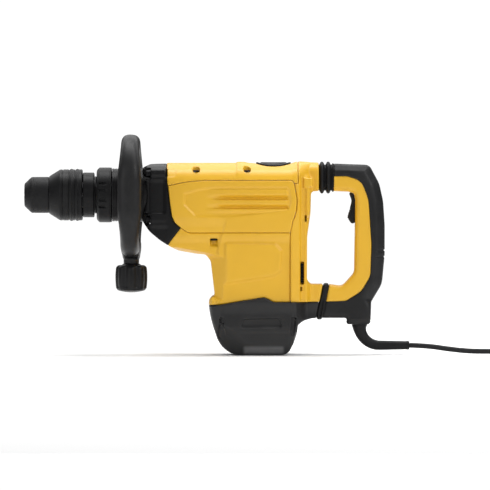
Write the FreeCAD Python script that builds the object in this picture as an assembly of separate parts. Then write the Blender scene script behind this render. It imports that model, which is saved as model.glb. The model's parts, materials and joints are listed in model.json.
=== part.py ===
import FreeCAD, Part
import math
import os

# Demolition hammer with a vertical motor, a hand loop at the nose and a damped rear handle.
# Millimetres. X runs from the nose (-X) to the rear handle (+X), Z is up and the tool is symmetric about
# the XZ plane. The origin is under the middle of the tool, on the surface that the base stands on.

V = FreeCAD.Vector

# ---- driving dimensions -------------------------------------------------------------------------------
AXIS_Z = 231.5            # height of the hammer axis
NOSE_X = -261.1           # front face of the dust cap
BODY_HALF = 50.0          # half width of the main housing
BASE_HALF = 52.0          # half width of the base
TOP_Z = 278.0             # top of the housing
MOTOR_X = 73.5            # vertical motor axis
GEAR_MODULE = 1.4
PINION_TEETH = 7
GEAR_TEETH = 34
GEAR_DISTANCE = GEAR_MODULE * (PINION_TEETH + GEAR_TEETH) / 2.0
CRANK_X = MOTOR_X + GEAR_DISTANCE
CRANK_THROW = 11.0
ROD_LENGTH = 44.0         # centre to centre
BIT_BORE_R = 9.1          # 18 mm hexless shank with running clearance
HOLDER_R = 18.4
BARREL_R = 38.6           # round neck that the hand loop clamps on
LOOP_X = -107.25          # middle plane of the hand loop
LOOP_HALF_Y = 108.0
LOOP_HALF_Z = 87.5
LOOP_BAR = 28.0           # radial thickness of the hand loop
LOOP_DEPTH = 35.5         # thickness of the hand loop along X
HANDLE_HALF = 20.0        # half width of the rear handle
HANDLE_SCREWS = [(196.0, 247.0), (229.0, 178.0), (229.0, 124.0), (190.0, 89.0)]
PIVOT = (174.5, 76.0)     # X and Z of the rear handle's pin
PIN_R = 5.0               # rear handle's pin, held by the frame's tongue and turning in the handle's lugs
PIN_FIT = 0.02
CORD_D = 7.5
RUN_GAP = 0.3             # clearance between curved faces of different bodies
SEAT_GAP = 0.1            # clearance between nested parts of one body


# ---- helpers ------------------------------------------------------------------------------------------
def corner(before, here, after, radius):
    """The two tangent points and the middle point of a rounded corner, in 2D."""
    ax, ay = before[0] - here[0], before[1] - here[1]
    bx, by = after[0] - here[0], after[1] - here[1]
    la, lb = math.hypot(ax, ay), math.hypot(bx, by)
    ax, ay, bx, by = ax / la, ay / la, bx / lb, by / lb
    half = math.acos(max(-1.0, min(1.0, ax * bx + ay * by))) / 2.0
    reach = radius / math.tan(half)
    mx, my = ax + bx, ay + by
    length = math.hypot(mx, my)
    mx, my = mx / length, my / length
    depth = radius / math.sin(half) - radius
    first = (here[0] + ax * reach, here[1] + ay * reach)
    last = (here[0] + bx * reach, here[1] + by * reach)
    return first, (here[0] + mx * depth, here[1] + my * depth), last


def outline(points, place):
    """A closed face from 2D points. A point with a third value is rounded to that radius."""
    edges = []
    ends = []
    count = len(points)
    for i, point in enumerate(points):
        if len(point) > 2:
            ends.append(corner(points[i - 1], point, points[(i + 1) % count], point[2]))
        else:
            ends.append((point, None, point))
    for i, (first, middle, last) in enumerate(ends):
        if middle is not None:
            edges.append(Part.Arc(place(*first), place(*middle), place(*last)).toShape())
        following = ends[(i + 1) % count][0]
        if math.hypot(following[0] - last[0], following[1] - last[1]) > 1e-4:
            edges.append(Part.LineSegment(place(last[0], last[1]), place(*following[:2])).toShape())
    return Part.Face(Part.Wire(edges))


def side_prism(points, y0, y1):
    """Outline in X and Z, carried from y0 to y1."""
    return outline(points, lambda x, z: V(x, y0, z)).extrude(V(0, y1 - y0, 0))


def plan_prism(points, z0, z1):
    """Outline in X and Y, carried from z0 to z1."""
    return outline(points, lambda x, y: V(x, y, z0)).extrude(V(0, 0, z1 - z0))


def front_prism(points, x0, x1):
    """Outline in Y and Z, carried from x0 to x1."""
    return outline(points, lambda y, z: V(x0, y, z)).extrude(V(x1 - x0, 0, 0))


def box(x0, x1, y0, y1, z0, z1):
    return Part.makeBox(x1 - x0, y1 - y0, z1 - z0, V(x0, y0, z0))


def rod_x(x0, x1, radius, y=0.0, z=AXIS_Z):
    return Part.makeCylinder(radius, x1 - x0, V(x0, y, z), V(1, 0, 0))


def rod_y(y0, y1, radius, x, z):
    return Part.makeCylinder(radius, y1 - y0, V(x, y0, z), V(0, 1, 0))


def rod_z(z0, z1, radius, x, y=0.0):
    return Part.makeCylinder(radius, z1 - z0, V(x, y, z0), V(0, 0, 1))


def ring_x(x0, x1, outer, inner):
    return rod_x(x0, x1, outer).cut(rod_x(x0 - 1, x1 + 1, inner))


def ring_z(z0, z1, outer, inner, x, y=0.0):
    return rod_z(z0, z1, outer, x, y).cut(rod_z(z0 - 1, z1 + 1, inner, x, y))


def turned(profile):
    """Solid of revolution about the hammer axis from (x, radius) points that close on the axis or a bore."""
    points = [V(x, 0, AXIS_Z + r) for x, r in profile]
    face = Part.Face(Part.makePolygon(points + [points[0]]))
    return face.revolve(V(0, 0, AXIS_Z), V(1, 0, 0), 360)


def fuse(shapes):
    shapes = list(shapes)
    whole = shapes[0]
    for shape in shapes[1:]:
        whole = whole.fuse(shape)
    return whole.removeSplitter()


def both_sides(shape):
    """The shape and its mirror image across the XZ plane, as separate solids."""
    return Part.makeCompound([shape, shape.mirror(V(0, 0, 0), V(0, 1, 0))])


def around_x(shape, count, start=0.0):
    copies = []
    for i in range(count):
        copy = shape.copy()
        copy.rotate(V(0, 0, AXIS_Z), V(1, 0, 0), start + 360.0 * i / count)
        copies.append(copy)
    return copies


parts = {}


def keep(name, shape):
    parts[name] = shape


# ---- chuck: turns about the hammer axis ---------------------------------------------------------------
HOLDER_FRONT = -246.0
HOLDER_REAR = -112.0
ANVIL_BORE_R = 13.55
BAR_LENGTH, BAR_WIDTH = 26.0, 4.6
NECK_R = 27.0             # hub between the retainer and the index collar
COLLAR_R = 39.5
NOTCH_ANGLES = (-25.2, -10.2, 10.2, 25.2)       # notches of the index collar, about the middle of each flank


def make_chuck():
    holder = turned([(HOLDER_FRONT, BIT_BORE_R), (HOLDER_FRONT, 14.5), (-243, 16.0), (-206, 16.0),
                     (-203, HOLDER_R), (HOLDER_REAR, HOLDER_R), (HOLDER_REAR, ANVIL_BORE_R),
                     (-150, ANVIL_BORE_R), (-152, BIT_BORE_R)])
    slot = box(-200, -200 + BAR_LENGTH, -BAR_WIDTH / 2, BAR_WIDTH / 2, AXIS_Z + 8, AXIS_Z + 30)
    for cutter in around_x(slot, 2, 90):
        holder = holder.cut(cutter)
    keep("tool_holder", holder)
    bar = box(-199.7, -200 + BAR_LENGTH - 0.3, -BAR_WIDTH / 2 + 0.1, BAR_WIDTH / 2 - 0.1,
              AXIS_Z + 9.6, AXIS_Z + HOLDER_R - 0.4)
    keep("locking_bars", Part.makeCompound(around_x(bar, 2, 90)))
    keep("dust_cap", turned([(NOSE_X, 9.6), (NOSE_X, 16.0), (-259.4, 18.6), (-250.3, 25.8), (-247.6, 25.8),
                             (-247.2, 25.3), (-246.8, 25.3), (-246.4, 25.8), (-225.3, 25.8),
                             (-225.3, 16.2), (-243, 16.2), (-246.3, 14.6), (-246.3, 9.6)]))
    keep("chuck_retainer", turned([(-176.2, HOLDER_R + SEAT_GAP), (-176.2, 31.4), (-175.4, 32.2),
                                   (-160.4, 32.2), (-159.6, 31.4), (-159.6, NECK_R), (-156.9, NECK_R),
                                   (-156.9, HOLDER_R + SEAT_GAP)]))
    anvil = turned([(-146, 0), (-146, 8.9), (-140, 8.9), (-140, 13.5), (-116, 13.5), (-114, 10.0),
                    (-66, 10.0), (-66, 0)])
    keep("anvil", anvil)


def make_sleeve():
    """Locking sleeve that is drawn back to free the bit. It passes over the retainer behind it."""
    profile = [(-225, 26.2), (-225, 27.0), (-209.5, 36.0), (-208.6, 36.7)]
    for x in (-205.4, -196.3, -187.0):
        profile += [(x - 0.8, 36.7), (x - 0.4, 35.6), (x + 0.4, 35.6), (x + 0.8, 36.7)]
    profile += [(-185.6, 36.9), (-184.5, 37.6), (-183.4, 36.9), (-177.6, 36.7), (-176.9, 36.0)]
    profile += [(-176.9, 32.8), (-200.5, 32.8), (-202, 26.2)]
    keep("locking_sleeve", turned(profile))
    spring = []
    for i in range(5):
        centre_x = -197.0 + 4.6 * i
        spring.append(Part.makeTorus(28.0, 1.2, V(centre_x, 0, AXIS_Z), V(1, 0, 0)))
    keep("sleeve_spring", Part.makeCompound(spring))


def make_index_collar():
    """Notched collar, drawn forward to turn the chuck. Its counterbore leaves room for the retainer's hub."""
    counterbore_r = NECK_R + 2 * RUN_GAP
    collar = turned([(-156.4, counterbore_r), (-156.4, 36.0), (-153.0, COLLAR_R), (-134.4, COLLAR_R),
                     (-134.4, HOLDER_R + RUN_GAP), (-153.1, HOLDER_R + RUN_GAP), (-153.1, counterbore_r)])
    notch = box(-152.6, -141.0, -1.5, 1.5, AXIS_Z + COLLAR_R - 1.8, AXIS_Z + COLLAR_R + 1)
    for angle in NOTCH_ANGLES:
        for cutter in around_x(notch, 2, 90 + angle):
            collar = collar.cut(cutter)
    keep("index_collar", collar)


# ---- barrel and nose ----------------------------------------------------------------------------------
def make_barrel():
    profile = [(-133.9, 32.0), (-133.9, 38.0), (-133.3, BARREL_R)]
    for x in (-131.0, -128.0, -88.0):
        profile += [(x - 0.6, BARREL_R), (x - 0.3, 38.0), (x + 0.3, 38.0), (x + 0.6, BARREL_R)]
    profile += [(-62, BARREL_R), (-62, 32.0)]
    keep("barrel", turned(profile))
    keep("front_bush", ring_x(-133.6, -114, 32.0 - SEAT_GAP, HOLDER_R + 0.05))


NOSE_EDGE = [(-54.7, 277.6), (-53.9, 255.0), (-52.3, 241.0), (-49.5, 219.0), (-46.8, 201.0), (-42.6, 192.0),
             (-34.0, 184.3), (-53.0, 160.1)]


def nose_outline():
    return [(-91.6, 196.2, 8), (-91.6, 268.0, 6), (-84.0, 275.4, 12)] + NOSE_EDGE + [(-67.9, 173.2, 14)]


def body_section(half, top, low=60.0, crown=24.0):
    return [(-half, low), (half, low), (half, top, crown), (-half, top, crown)]


def make_nose():
    shell = side_prism(nose_outline(), -46, 46)
    shell = shell.common(front_prism([(-46, 150, 12), (46, 150, 12), (46, 277.6, 26), (-46, 277.6, 26)],
                                     -100, 0))
    shell = shell.cut(rod_x(-95, -20, BARREL_R + SEAT_GAP))
    shell = shell.cut(box(-84, -20, -41.5, 41.5, 188, 266)).cut(box(-45.6, -20, -42.4, 42.4, 170, 270))
    for z in (262.0, 198.0):
        for side in (-1, 1):
            pad = rod_x(-90, -77, 9.5, 37 * side, z)
            shell = shell.cut(pad)
    keep("nose_housing", shell)
    screws = []
    for z in (262.0, 198.0):
        for side in (-1, 1):
            head = rod_x(-84.5, -77, 5.2, 37 * side, z)
            socket = rod_x(-85, -81, 2.8, 37 * side, z)
            screws.append(head.cut(socket))
    keep("nose_screws", Part.makeCompound(screws))


# ---- upper housing ------------------------------------------------------------------------------------
PANEL_OUTLINE = [(-52.3, 244.9), (0.5, 252.6, 60), (126.7, 252.6, 3), (129.4, 248.8), (133.6, 224.6, 20),
                 (132.2, 207.9, 20), (127.4, 194.0), (123.9, 177.3), (-23.1, 177.3, 6), (-34.0, 184.3),
                 (-42.6, 192.0), (-46.8, 201.0), (-49.5, 219.0)]
PANEL_INNER_Y = 43.0
POCKETS = [(-12.0, 266.0), (61.5, 266.0), (13.5, 165.0)]
CAP_X, CAP_R = 99.7, 25.5


def make_top_cover():
    top = [(-54.7, 277.6), (-52.0, TOP_Z, 2), (46.0, TOP_Z), (47.5, 279.6), (56.0, 279.6), (64.0, TOP_Z),
           (122.0, TOP_Z), (134.8, 280.4), (134.8, 249.0), (129.6, 249.0), (126.9, 252.8), (0.5, 252.8, 60),
           (-52.5, 245.1), (-53.9, 255.0)]
    cover = side_prism(top, -BODY_HALF, BODY_HALF)
    cover = cover.common(front_prism(body_section(BODY_HALF, 280.4, 200, 26), -60, 140))
    cover = cover.cut(box(-60, CASE_REAR + 0.4, -PANEL_INNER_Y, PANEL_INNER_Y, 240, 269))
    cover = cover.cut(rod_z(270, 285, CAP_R + SEAT_GAP, CAP_X))
    for x, z in POCKETS[:2]:
        for side in (-1, 1):
            y0, y1 = sorted((side * 44.0, side * 60.0))
            cover = cover.cut(rod_y(y0, y1, 5.3, x, z))
    keep("top_cover", cover)
    cap = rod_z(270.2, 278.8, CAP_R, CAP_X)
    cap = cap.fuse(ring_z(270.2, 279.8, CAP_R - 1.5, CAP_R - 6.0, CAP_X))
    keep("crankcase_cap", cap.removeSplitter())


def make_side_panels():
    """Cover plates on the crankcase, with a sunk field that holds three ribs."""
    for name, side in (("side_panel_left", -1), ("side_panel_right", 1)):
        y0, y1 = sorted((side * PANEL_INNER_Y, side * BODY_HALF))
        panel = side_prism(PANEL_OUTLINE, y0, y1)
        f0, f1 = sorted((side * (BODY_HALF - 2.0), side * (BODY_HALF + 3)))
        field = side_prism([(-30.8, 235.6, 3), (11.5, 243.9, 20), (122.5, 243.9, 4), (127.0, 226.0, 10),
                            (120.0, 205.8, 4), (96.9, 205.8, 10), (39.2, 198.9, 10), (-13.4, 199.5, 5),
                            (-30.8, 219.0, 4)], f0, f1)
        panel = panel.cut(field)
        for z in (236.0, 222.0, 210.0):
            r0, r1 = sorted((side * (BODY_HALF - 2.2), side * (BODY_HALF - 0.6)))
            panel = panel.fuse(side_prism([(16, z - 2.6, 2.5), (118, z - 2.6, 2.5), (118, z + 2.6, 2.5),
                                           (16, z + 2.6, 2.5)], r0, r1))
        keep(name, panel.removeSplitter())


MOTOR_OUTLINE = [(-34.0, 184.3), (-53.0, 160.1), (-37.0, 152.4, 30), (-9.0, 147.2, 30), (2.5, 146.0, 6),
                 (8.4, 136.0, 8), (14.3, 87.0, 8), (5.9, 76.0, 5), (5.9, 71.5), (20.7, 71.5, 20),
                 (87.7, 82.8, 3), (99.4, 75.2, 6), (123.7, 75.4), (123.7, 177.1), (-23.1, 177.1, 6)]


def plan_outline(x0, x1, half, front_r, rear_r):
    return [(x0, -half, front_r), (x1, -half, rear_r), (x1, half, rear_r), (x0, half, front_r)]


def make_motor_housing():
    block = side_prism(MOTOR_OUTLINE, -BODY_HALF, BODY_HALF)
    low = plan_prism(plan_outline(5.0, 160.0, BODY_HALF, 22, 2), 60, 142)
    high = plan_prism(plan_outline(-56.0, 160.0, BODY_HALF, 10, 2), 142, 190)
    block = block.common(low.fuse(high))
    block = block.cut(rod_z(70, 180, 46.0, MOTOR_X))
    block = block.cut(box(-46, 124, -42.5, 42.5, 177.2, 190)).cut(box(-28, 119, -42, 42, 158, 180))
    block = block.cut(box(34, 119, -38, 38, 70, 165))
    for side in (-1, 1):
        y0, y1 = sorted((side * 44.5, side * 60.0))
        block = block.cut(rod_y(y0, y1, 5.3, *POCKETS[2]))
        p0, p1 = sorted((side * (BODY_HALF - 1.2), side * (BODY_HALF + 1)))
        rim = side_prism([(25.4, 103.2, 4), (99.5, 112.6, 6), (110.2, 121.4, 6), (112.8, 147.4, 4),
                          (102.4, 158.6, 4), (25.4, 165.2, 4)], p0, p1)
        plate = side_prism([(26.8, 104.4, 3), (99, 113.8, 5), (108.9, 122, 5), (111.4, 146.9, 3),
                            (101.7, 157.4, 3), (26.8, 163.6, 3)], p0, p1)
        block = block.cut(rim.cut(plate))
    for name, side in (("motor_housing_left", -1), ("motor_housing_right", 1)):
        y0, y1 = sorted((0.0, side * 70.0))
        keep(name, block.common(box(-80, 200, y0, y1, 0, 300)))
    screws = []
    for x, z in POCKETS:
        for side in (-1, 1):
            y0, y1 = sorted((side * 44.6, side * 47.0))
            screws.append(rod_y(y0, y1, 4.4, x, z))
    keep("housing_screws", Part.makeCompound(screws))


BASE_OUTLINE = [(5.9, 71.3), (12.3, 39.0, 30), (21.8, 17.0, 12), (40.5, 0.0, 3), (113.5, 0.0, 12),
                (127.0, 11.5, 14), (135.1, 44.4, 8), (155.8, 53.2, 10), (161.2, 53.2), (165.5, 75.4),
                (99.4, 75.0, 6), (87.7, 82.6, 3), (20.7, 71.3, 20)]
BASE_SCREW_X = (54.0, 106.0)
BASE_SCREW_Y = 30.0
BASE_SCREW_TOP = 10.0


def make_base():
    base = side_prism(BASE_OUTLINE, -BASE_HALF, BASE_HALF)
    base = base.common(plan_prism([(4, -BASE_HALF, 26), (136, -BASE_HALF, 20), (150, -26, 10), (170, -26),
                                   (170, 26), (150, 26, 10), (136, BASE_HALF, 20), (4, BASE_HALF, 26)],
                                  -5, 90))
    base = base.cut(rod_z(70, 90, 46.2, MOTOR_X))
    base = base.cut(rod_z(16, 90, 41.0, MOTOR_X)).fuse(ring_z(15, 38, 15.0, 11.05, MOTOR_X))
    base = base.cut(box(158, 170, -16.6, 16.6, 64, 80))
    for side in (-1, 1):
        s0, s1 = sorted((side * (BASE_HALF - 3.0), side * (BASE_HALF + 3)))
        base = base.cut(side_prism([(52.6, 39.6, 3), (113.2, 41.0, 3), (108, 53.7, 3), (56, 53.7, 3)], s0, s1))
        base = base.cut(side_prism([(21.8, 27, 2), (27.5, 24, 2), (28.4, 52, 2), (22.4, 55, 2)], s0, s1))
        base = base.cut(side_prism([(125.5, 33, 2), (130.5, 33, 2), (132.5, 55, 2), (125.5, 55, 2)], s0, s1))
    places = [(x, y) for x in BASE_SCREW_X for y in (-BASE_SCREW_Y, BASE_SCREW_Y)]
    screws = [rod_z(4.0, BASE_SCREW_TOP, 3.5, x, y).cut(rod_z(3, 6.5, 2.0, x, y)) for x, y in places]
    holes = [rod_z(-1, BASE_SCREW_TOP, 4.2, x, y) for x, y in places]
    keep("base_screws", Part.makeCompound(screws))
    keep("base_cap", base.cut(Part.makeCompound(holes)))


REAR_OUTLINE = [(135.0, 280.4), (150.0, 279.2, 8), (165.2, 277.2), (165.2, 237.5), (154.0, 236.5, 3),
                (152.9, 205.0, 80), (148.0, 172.0, 60), (148.0, 108.0, 6), (151.5, 102.5, 6), (170.3, 102.5),
                (165.7, 75.6), (123.9, 75.6), (123.9, 177.3), (127.4, 194.0), (132.2, 207.9, 20),
                (133.6, 224.6, 20), (129.4, 248.8), (135.0, 248.8)]


def make_rear_frame():
    frame = side_prism(REAR_OUTLINE, -BODY_HALF, BODY_HALF)
    plan = plan_prism([(100, -BODY_HALF), (134, -BODY_HALF, 14), (152, -25, 8), (175, -23), (175, 23),
                       (152, 25, 8), (134, BODY_HALF, 14), (100, BODY_HALF)], 60, 290)
    section = front_prism([(-BODY_HALF, 60), (BODY_HALF, 60), (BODY_HALF, 280.4, 26),
                           (-BODY_HALF, 280.4, 26)], 100, 180)
    frame = frame.common(plan).common(section)
    frame = frame.cut(box(134, 144, -34, 34, 90, 262)).cut(box(120, 134.1, -42.6, 42.6, 176, 270))
    for side in (-1, 1):
        y0, y1 = sorted((side * 30.0, side * 60.0))
        slot = side_prism([(138.2, 103), (143.8, 103), (143.8, 135), (138.2, 135)], y0, y1)
        frame = frame.cut(slot)
    tongue = box(160, 168, -7.5, 7.5, 68, 84).fuse(box(165, PIVOT[0], -7.5, 7.5, 68, 84))
    tongue = tongue.fuse(rod_y(-7.5, 7.5, 8, *PIVOT))
    frame = frame.fuse(tongue).removeSplitter()
    frame = frame.cut(rod_y(-8, 8, PIN_R + PIN_FIT, *PIVOT))
    for side in (-1, 1):
        y0, y1 = sorted((side * 7.7, side * 16.4))
        frame = frame.cut(rod_y(y0, y1, 10.0, *PIVOT))
    keep("rear_frame", frame)
    fins = []
    for i in range(5):
        z = 106.0 + 6.0 * i
        fins.append(both_sides(box(138.5, 143.5, 34.5, 40.0, z, z + 2.0)))
    keep("vent_louvres", Part.makeCompound([s for pair in fins for s in pair.Solids]))
    keep("pivot_pin", rod_y(-15.5, 15.5, PIN_R, *PIVOT))


# ---- hammer drive -------------------------------------------------------------------------------------
CASE_FLOOR = 176.0
CASE_REAR = 132.0
GEAR_Z0, GEAR_Z1 = 184.0, 193.0


def gear(teeth, z0, z1, x, turn):
    """Straight teeth with short addendum and easy backlash."""
    pitch_r = GEAR_MODULE * teeth / 2.0
    root_r, tip_r = pitch_r - 1.35, pitch_r + 0.95
    step = 2.0 * math.pi / teeth
    points = []
    for i in range(teeth):
        for share, radius in ((-0.30, root_r), (-0.11, tip_r), (0.11, tip_r), (0.30, root_r)):
            angle = turn + step * (i + share)
            points.append((x + radius * math.cos(angle), radius * math.sin(angle)))
    return plan_prism(points, z0, z1)


def make_drive():
    case = box(-45, CASE_REAR, -42, 42, CASE_FLOOR + 1.5, 268)
    case = case.cut(box(-38, CASE_REAR - 4, -36, 36, 182, 262))
    case = case.cut(rod_x(-50, -30, 25.0 + SEAT_GAP))
    case = case.cut(rod_z(170, 190, 12.0 + SEAT_GAP, MOTOR_X))
    case = case.cut(rod_z(170, 190, 14.0 + SEAT_GAP, CRANK_X))
    case = case.common(front_prism(body_section(42.0, 268, 170, 18), -60, 140))
    keep("crankcase", case)
    keep("cylinder", ring_x(-75, 58, 25.0, 23.05).fuse(ring_x(-75, -69, 25.0, 10.1)))
    keep("crank_bearing", ring_z(178, 182, 14.0, 8.05, CRANK_X))
    keep("motor_bearings", Part.makeCompound([ring_z(178, 182, 12.0, 6.05, MOTOR_X),
                                              ring_z(28, 38, 11.0, 6.05, MOTOR_X)]))
    wheel = gear(GEAR_TEETH, GEAR_Z0, GEAR_Z1, CRANK_X, math.pi)
    keep("crank_gear", wheel.cut(rod_z(180, 200, 8.0, CRANK_X)))
    pin_x = CRANK_X - CRANK_THROW
    keep("crankshaft", fuse([rod_z(177, GEAR_Z1, 8.0, CRANK_X), rod_z(GEAR_Z1, 212, 15.0, CRANK_X),
                             rod_z(212, 220, 17.5, CRANK_X), rod_z(220, 241, 5.0, pin_x)]))
    rod_x0 = pin_x - ROD_LENGTH
    rod = rod_z(AXIS_Z - 6, AXIS_Z + 6, 9.0, pin_x).fuse(rod_z(AXIS_Z - 6, AXIS_Z + 6, 7.5, rod_x0))
    rod = rod.fuse(box(rod_x0, pin_x, -4.5, 4.5, AXIS_Z - 4, AXIS_Z + 4))
    rod = rod.cut(rod_z(200, 260, 5.05, pin_x)).cut(rod_z(200, 260, 4.0, rod_x0))
    keep("connecting_rod", rod.removeSplitter())
    keep("wrist_pin", rod_z(AXIS_Z - 11, AXIS_Z + 11, 4.0, rod_x0))
    piston = turned([(0, 0), (0, 23.0), (52, 23.0), (52, 20.4), (10, 20.4), (10, 0)])
    keep("piston", piston)
    keep("ram", turned([(-47, 0), (-47, 14), (-42, 23.0), (-13, 23.0), (-13, 15.0), (-30, 15.0), (-30, 0)]))


# ---- motor --------------------------------------------------------------------------------------------
BRUSH_Z = 56.0


def make_motor():
    shaft = rod_z(24, 182.5, 6.0, MOTOR_X)
    pinion = gear(PINION_TEETH, 182.5, 195, MOTOR_X, math.pi / PINION_TEETH)
    keep("motor_shaft", shaft.fuse(pinion).removeSplitter())
    core = rod_z(88, 156, 23.5, MOTOR_X)
    for i in range(12):
        angle = math.radians(30.0 * i)
        core = core.cut(rod_z(80, 160, 2.2, MOTOR_X + 21.5 * math.cos(angle), 21.5 * math.sin(angle)))
    keep("armature_core", core.cut(rod_z(80, 160, 6.0, MOTOR_X)))
    keep("commutator", ring_z(BRUSH_Z - 10, BRUSH_Z + 10, 15.0, 6.0, MOTOR_X))
    fan = ring_z(164, 166, 38.0, 6.0, MOTOR_X).fuse(ring_z(164, 172, 10.0, 6.0, MOTOR_X))
    blade = box(MOTOR_X + 12, MOTOR_X + 37, -0.8, 0.8, 165.5, 172)
    for i in range(12):
        copy = blade.copy()
        copy.rotate(V(MOTOR_X, 0, 0), V(0, 0, 1), 30.0 * i)
        fan = fan.fuse(copy)
    keep("fan", fan.removeSplitter())
    keep("stator", ring_z(71, 161, 45.8, 24.3, MOTOR_X))
    holders = []
    brushes = []
    for side in (-1, 1):
        y0, y1 = sorted((side * 16.0, side * 36.0))
        holder = box(MOTOR_X - 6, MOTOR_X + 6, y0, y1, BRUSH_Z - 6, BRUSH_Z + 6)
        holders.append(holder.cut(box(MOTOR_X - 4, MOTOR_X + 4, y0 - 1, y1 + 1,
                                      BRUSH_Z - 4, BRUSH_Z + 4)))
        b0, b1 = sorted((side * 15.2, side * 30.0))
        brushes.append(box(MOTOR_X - 3.8, MOTOR_X + 3.8, b0, b1,
                           BRUSH_Z - 3.8, BRUSH_Z + 3.8))
    keep("brush_holders", Part.makeCompound(holders))
    keep("carbon_brushes", Part.makeCompound(brushes))


# ---- hand loop ----------------------------------------------------------------------------------------
BAND_R = 46.0
LOOP_MID_Z = AXIS_Z
KNOB_X = -106.25


def loop_ring(inset):
    """Face of the loop outline in the YZ plane, drawn in by an even distance."""
    half_y, half_z, radius = LOOP_HALF_Y - inset, LOOP_HALF_Z - inset, 66.0 - inset
    return [(-half_y, LOOP_MID_Z - half_z, radius), (half_y, LOOP_MID_Z - half_z, radius),
            (half_y, LOOP_MID_Z + half_z, radius), (-half_y, LOOP_MID_Z + half_z, radius)]


def make_hand_loop():
    x0, x1 = LOOP_X - LOOP_DEPTH / 2, LOOP_X + LOOP_DEPTH / 2
    outer = front_prism(loop_ring(0), x0, x1)
    loop = outer.cut(front_prism(loop_ring(LOOP_BAR), x0 - 1, x1 + 1))
    loop = loop.makeFillet(11.0, loop.Edges)
    core = front_prism(loop_ring(7.0), LOOP_X - 10, LOOP_X + 10)
    core = core.cut(front_prism(loop_ring(LOOP_BAR - 7.0), LOOP_X - 11, LOOP_X + 11))
    core = core.cut(box(-150, -60, -30, 30, AXIS_Z - 100, AXIS_Z))
    loop = loop.cut(core)
    low = AXIS_Z - LOOP_HALF_Z
    high = AXIS_Z + LOOP_HALF_Z
    sides = side_prism([(-120.5, low - 1), (-94.3, low - 1), (x1, 195), (x1, 268), (-93.6, high + 1),
                        (-121.6, high + 1), (x0, 268), (x0, 195)], -120, 120)
    loop = loop.common(sides)
    web = side_prism([(-119.0, low + 20), (-94.0, low + 20), (-96.0, AXIS_Z - BAND_R - 0.2),
                      (-118.0, AXIS_Z - BAND_R - 0.2)], -14, 14)
    web = web.common(rod_x(x0, x1, 90).cut(rod_x(x0 - 1, x1 + 1, BAND_R + 0.1)))
    neck = rod_z(132.0, low + 12, 11.4, KNOB_X)
    loop = loop.fuse(web).fuse(neck)
    loop = loop.cut(rod_z(120, AXIS_Z - BAND_R + 1, 4.15, KNOB_X))
    keep("side_handle_loop", loop.removeSplitter())
    band = ring_x(-121, -93.4, BAND_R, BARREL_R + RUN_GAP)
    band = band.cut(box(-125, -90, -1.2, 1.2, AXIS_Z + 30, AXIS_Z + 50))
    band = band.cut(rod_z(AXIS_Z - 50, AXIS_Z - 41, 4.15, KNOB_X))
    keep("clamp_band", band)
    bolt = rod_z(108, AXIS_Z - 41.4, 4.0, KNOB_X)
    keep("clamp_bolt", bolt)


def make_knob():
    """Fluted clamp knob under the loop."""
    lobes = 8
    radius, bottom, top = 23.35, 90.0, 131.7
    knob = rod_z(bottom, top, radius, KNOB_X)
    for i in range(lobes):
        angle = 2 * math.pi * (i + 0.5) / lobes
        knob = knob.cut(rod_z(bottom + 6, top - 3, 5.0, KNOB_X + 26.2 * math.cos(angle),
                              26.2 * math.sin(angle)))
    dome = Part.makeSphere(60.0, V(KNOB_X, 0, bottom + 60.0))
    knob = knob.common(dome.fuse(rod_z(bottom + 6, top, 40, KNOB_X)))
    knob = knob.cut(rod_z(105, top + 1, 4.06, KNOB_X))
    keep("clamp_knob", knob)


# ---- rear handle --------------------------------------------------------------------------------------
# side view of the handle: inner edge of the opening, edge between shell and overmould, and outer edge
OPENING = [(187.2, 237.0), (208.0, 236.3, 5), (216.0, 233.6, 4), (218.0, 225.0, 8), (217.8, 189.4),
           (216.7, 119.0, 12), (199.5, 99.7, 11), (180.5, 102.3)]
COLOUR_EDGE = [(204.4, 77.0, 12), (226.5, 91.8, 24), (240.0, 114.0, 24), (241.6, 160.0, 80),
               (237.4, 224.8, 50), (227.0, 252.5, 22), (206.4, 258.8, 20), (187.2, 258.8)]
OUTER = [(187.2, 277.0), (238.5, 275.2, 10), (253.0, 248.0, 34), (258.6, 222.9, 60), (260.9, 188.0, 80),
         (260.9, 145.0, 80), (256.9, 102.5, 26), (241.2, 76.5, 6), (240.3, 44.2, 5), (205.6, 44.2, 3),
         (205.6, 53.5, 3), (170.6, 53.5)]
ARM_END = (175.2, 75.8)   # where the edge between shell and overmould meets the lower arm's end
SLOT_HALF = 10.6


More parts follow.
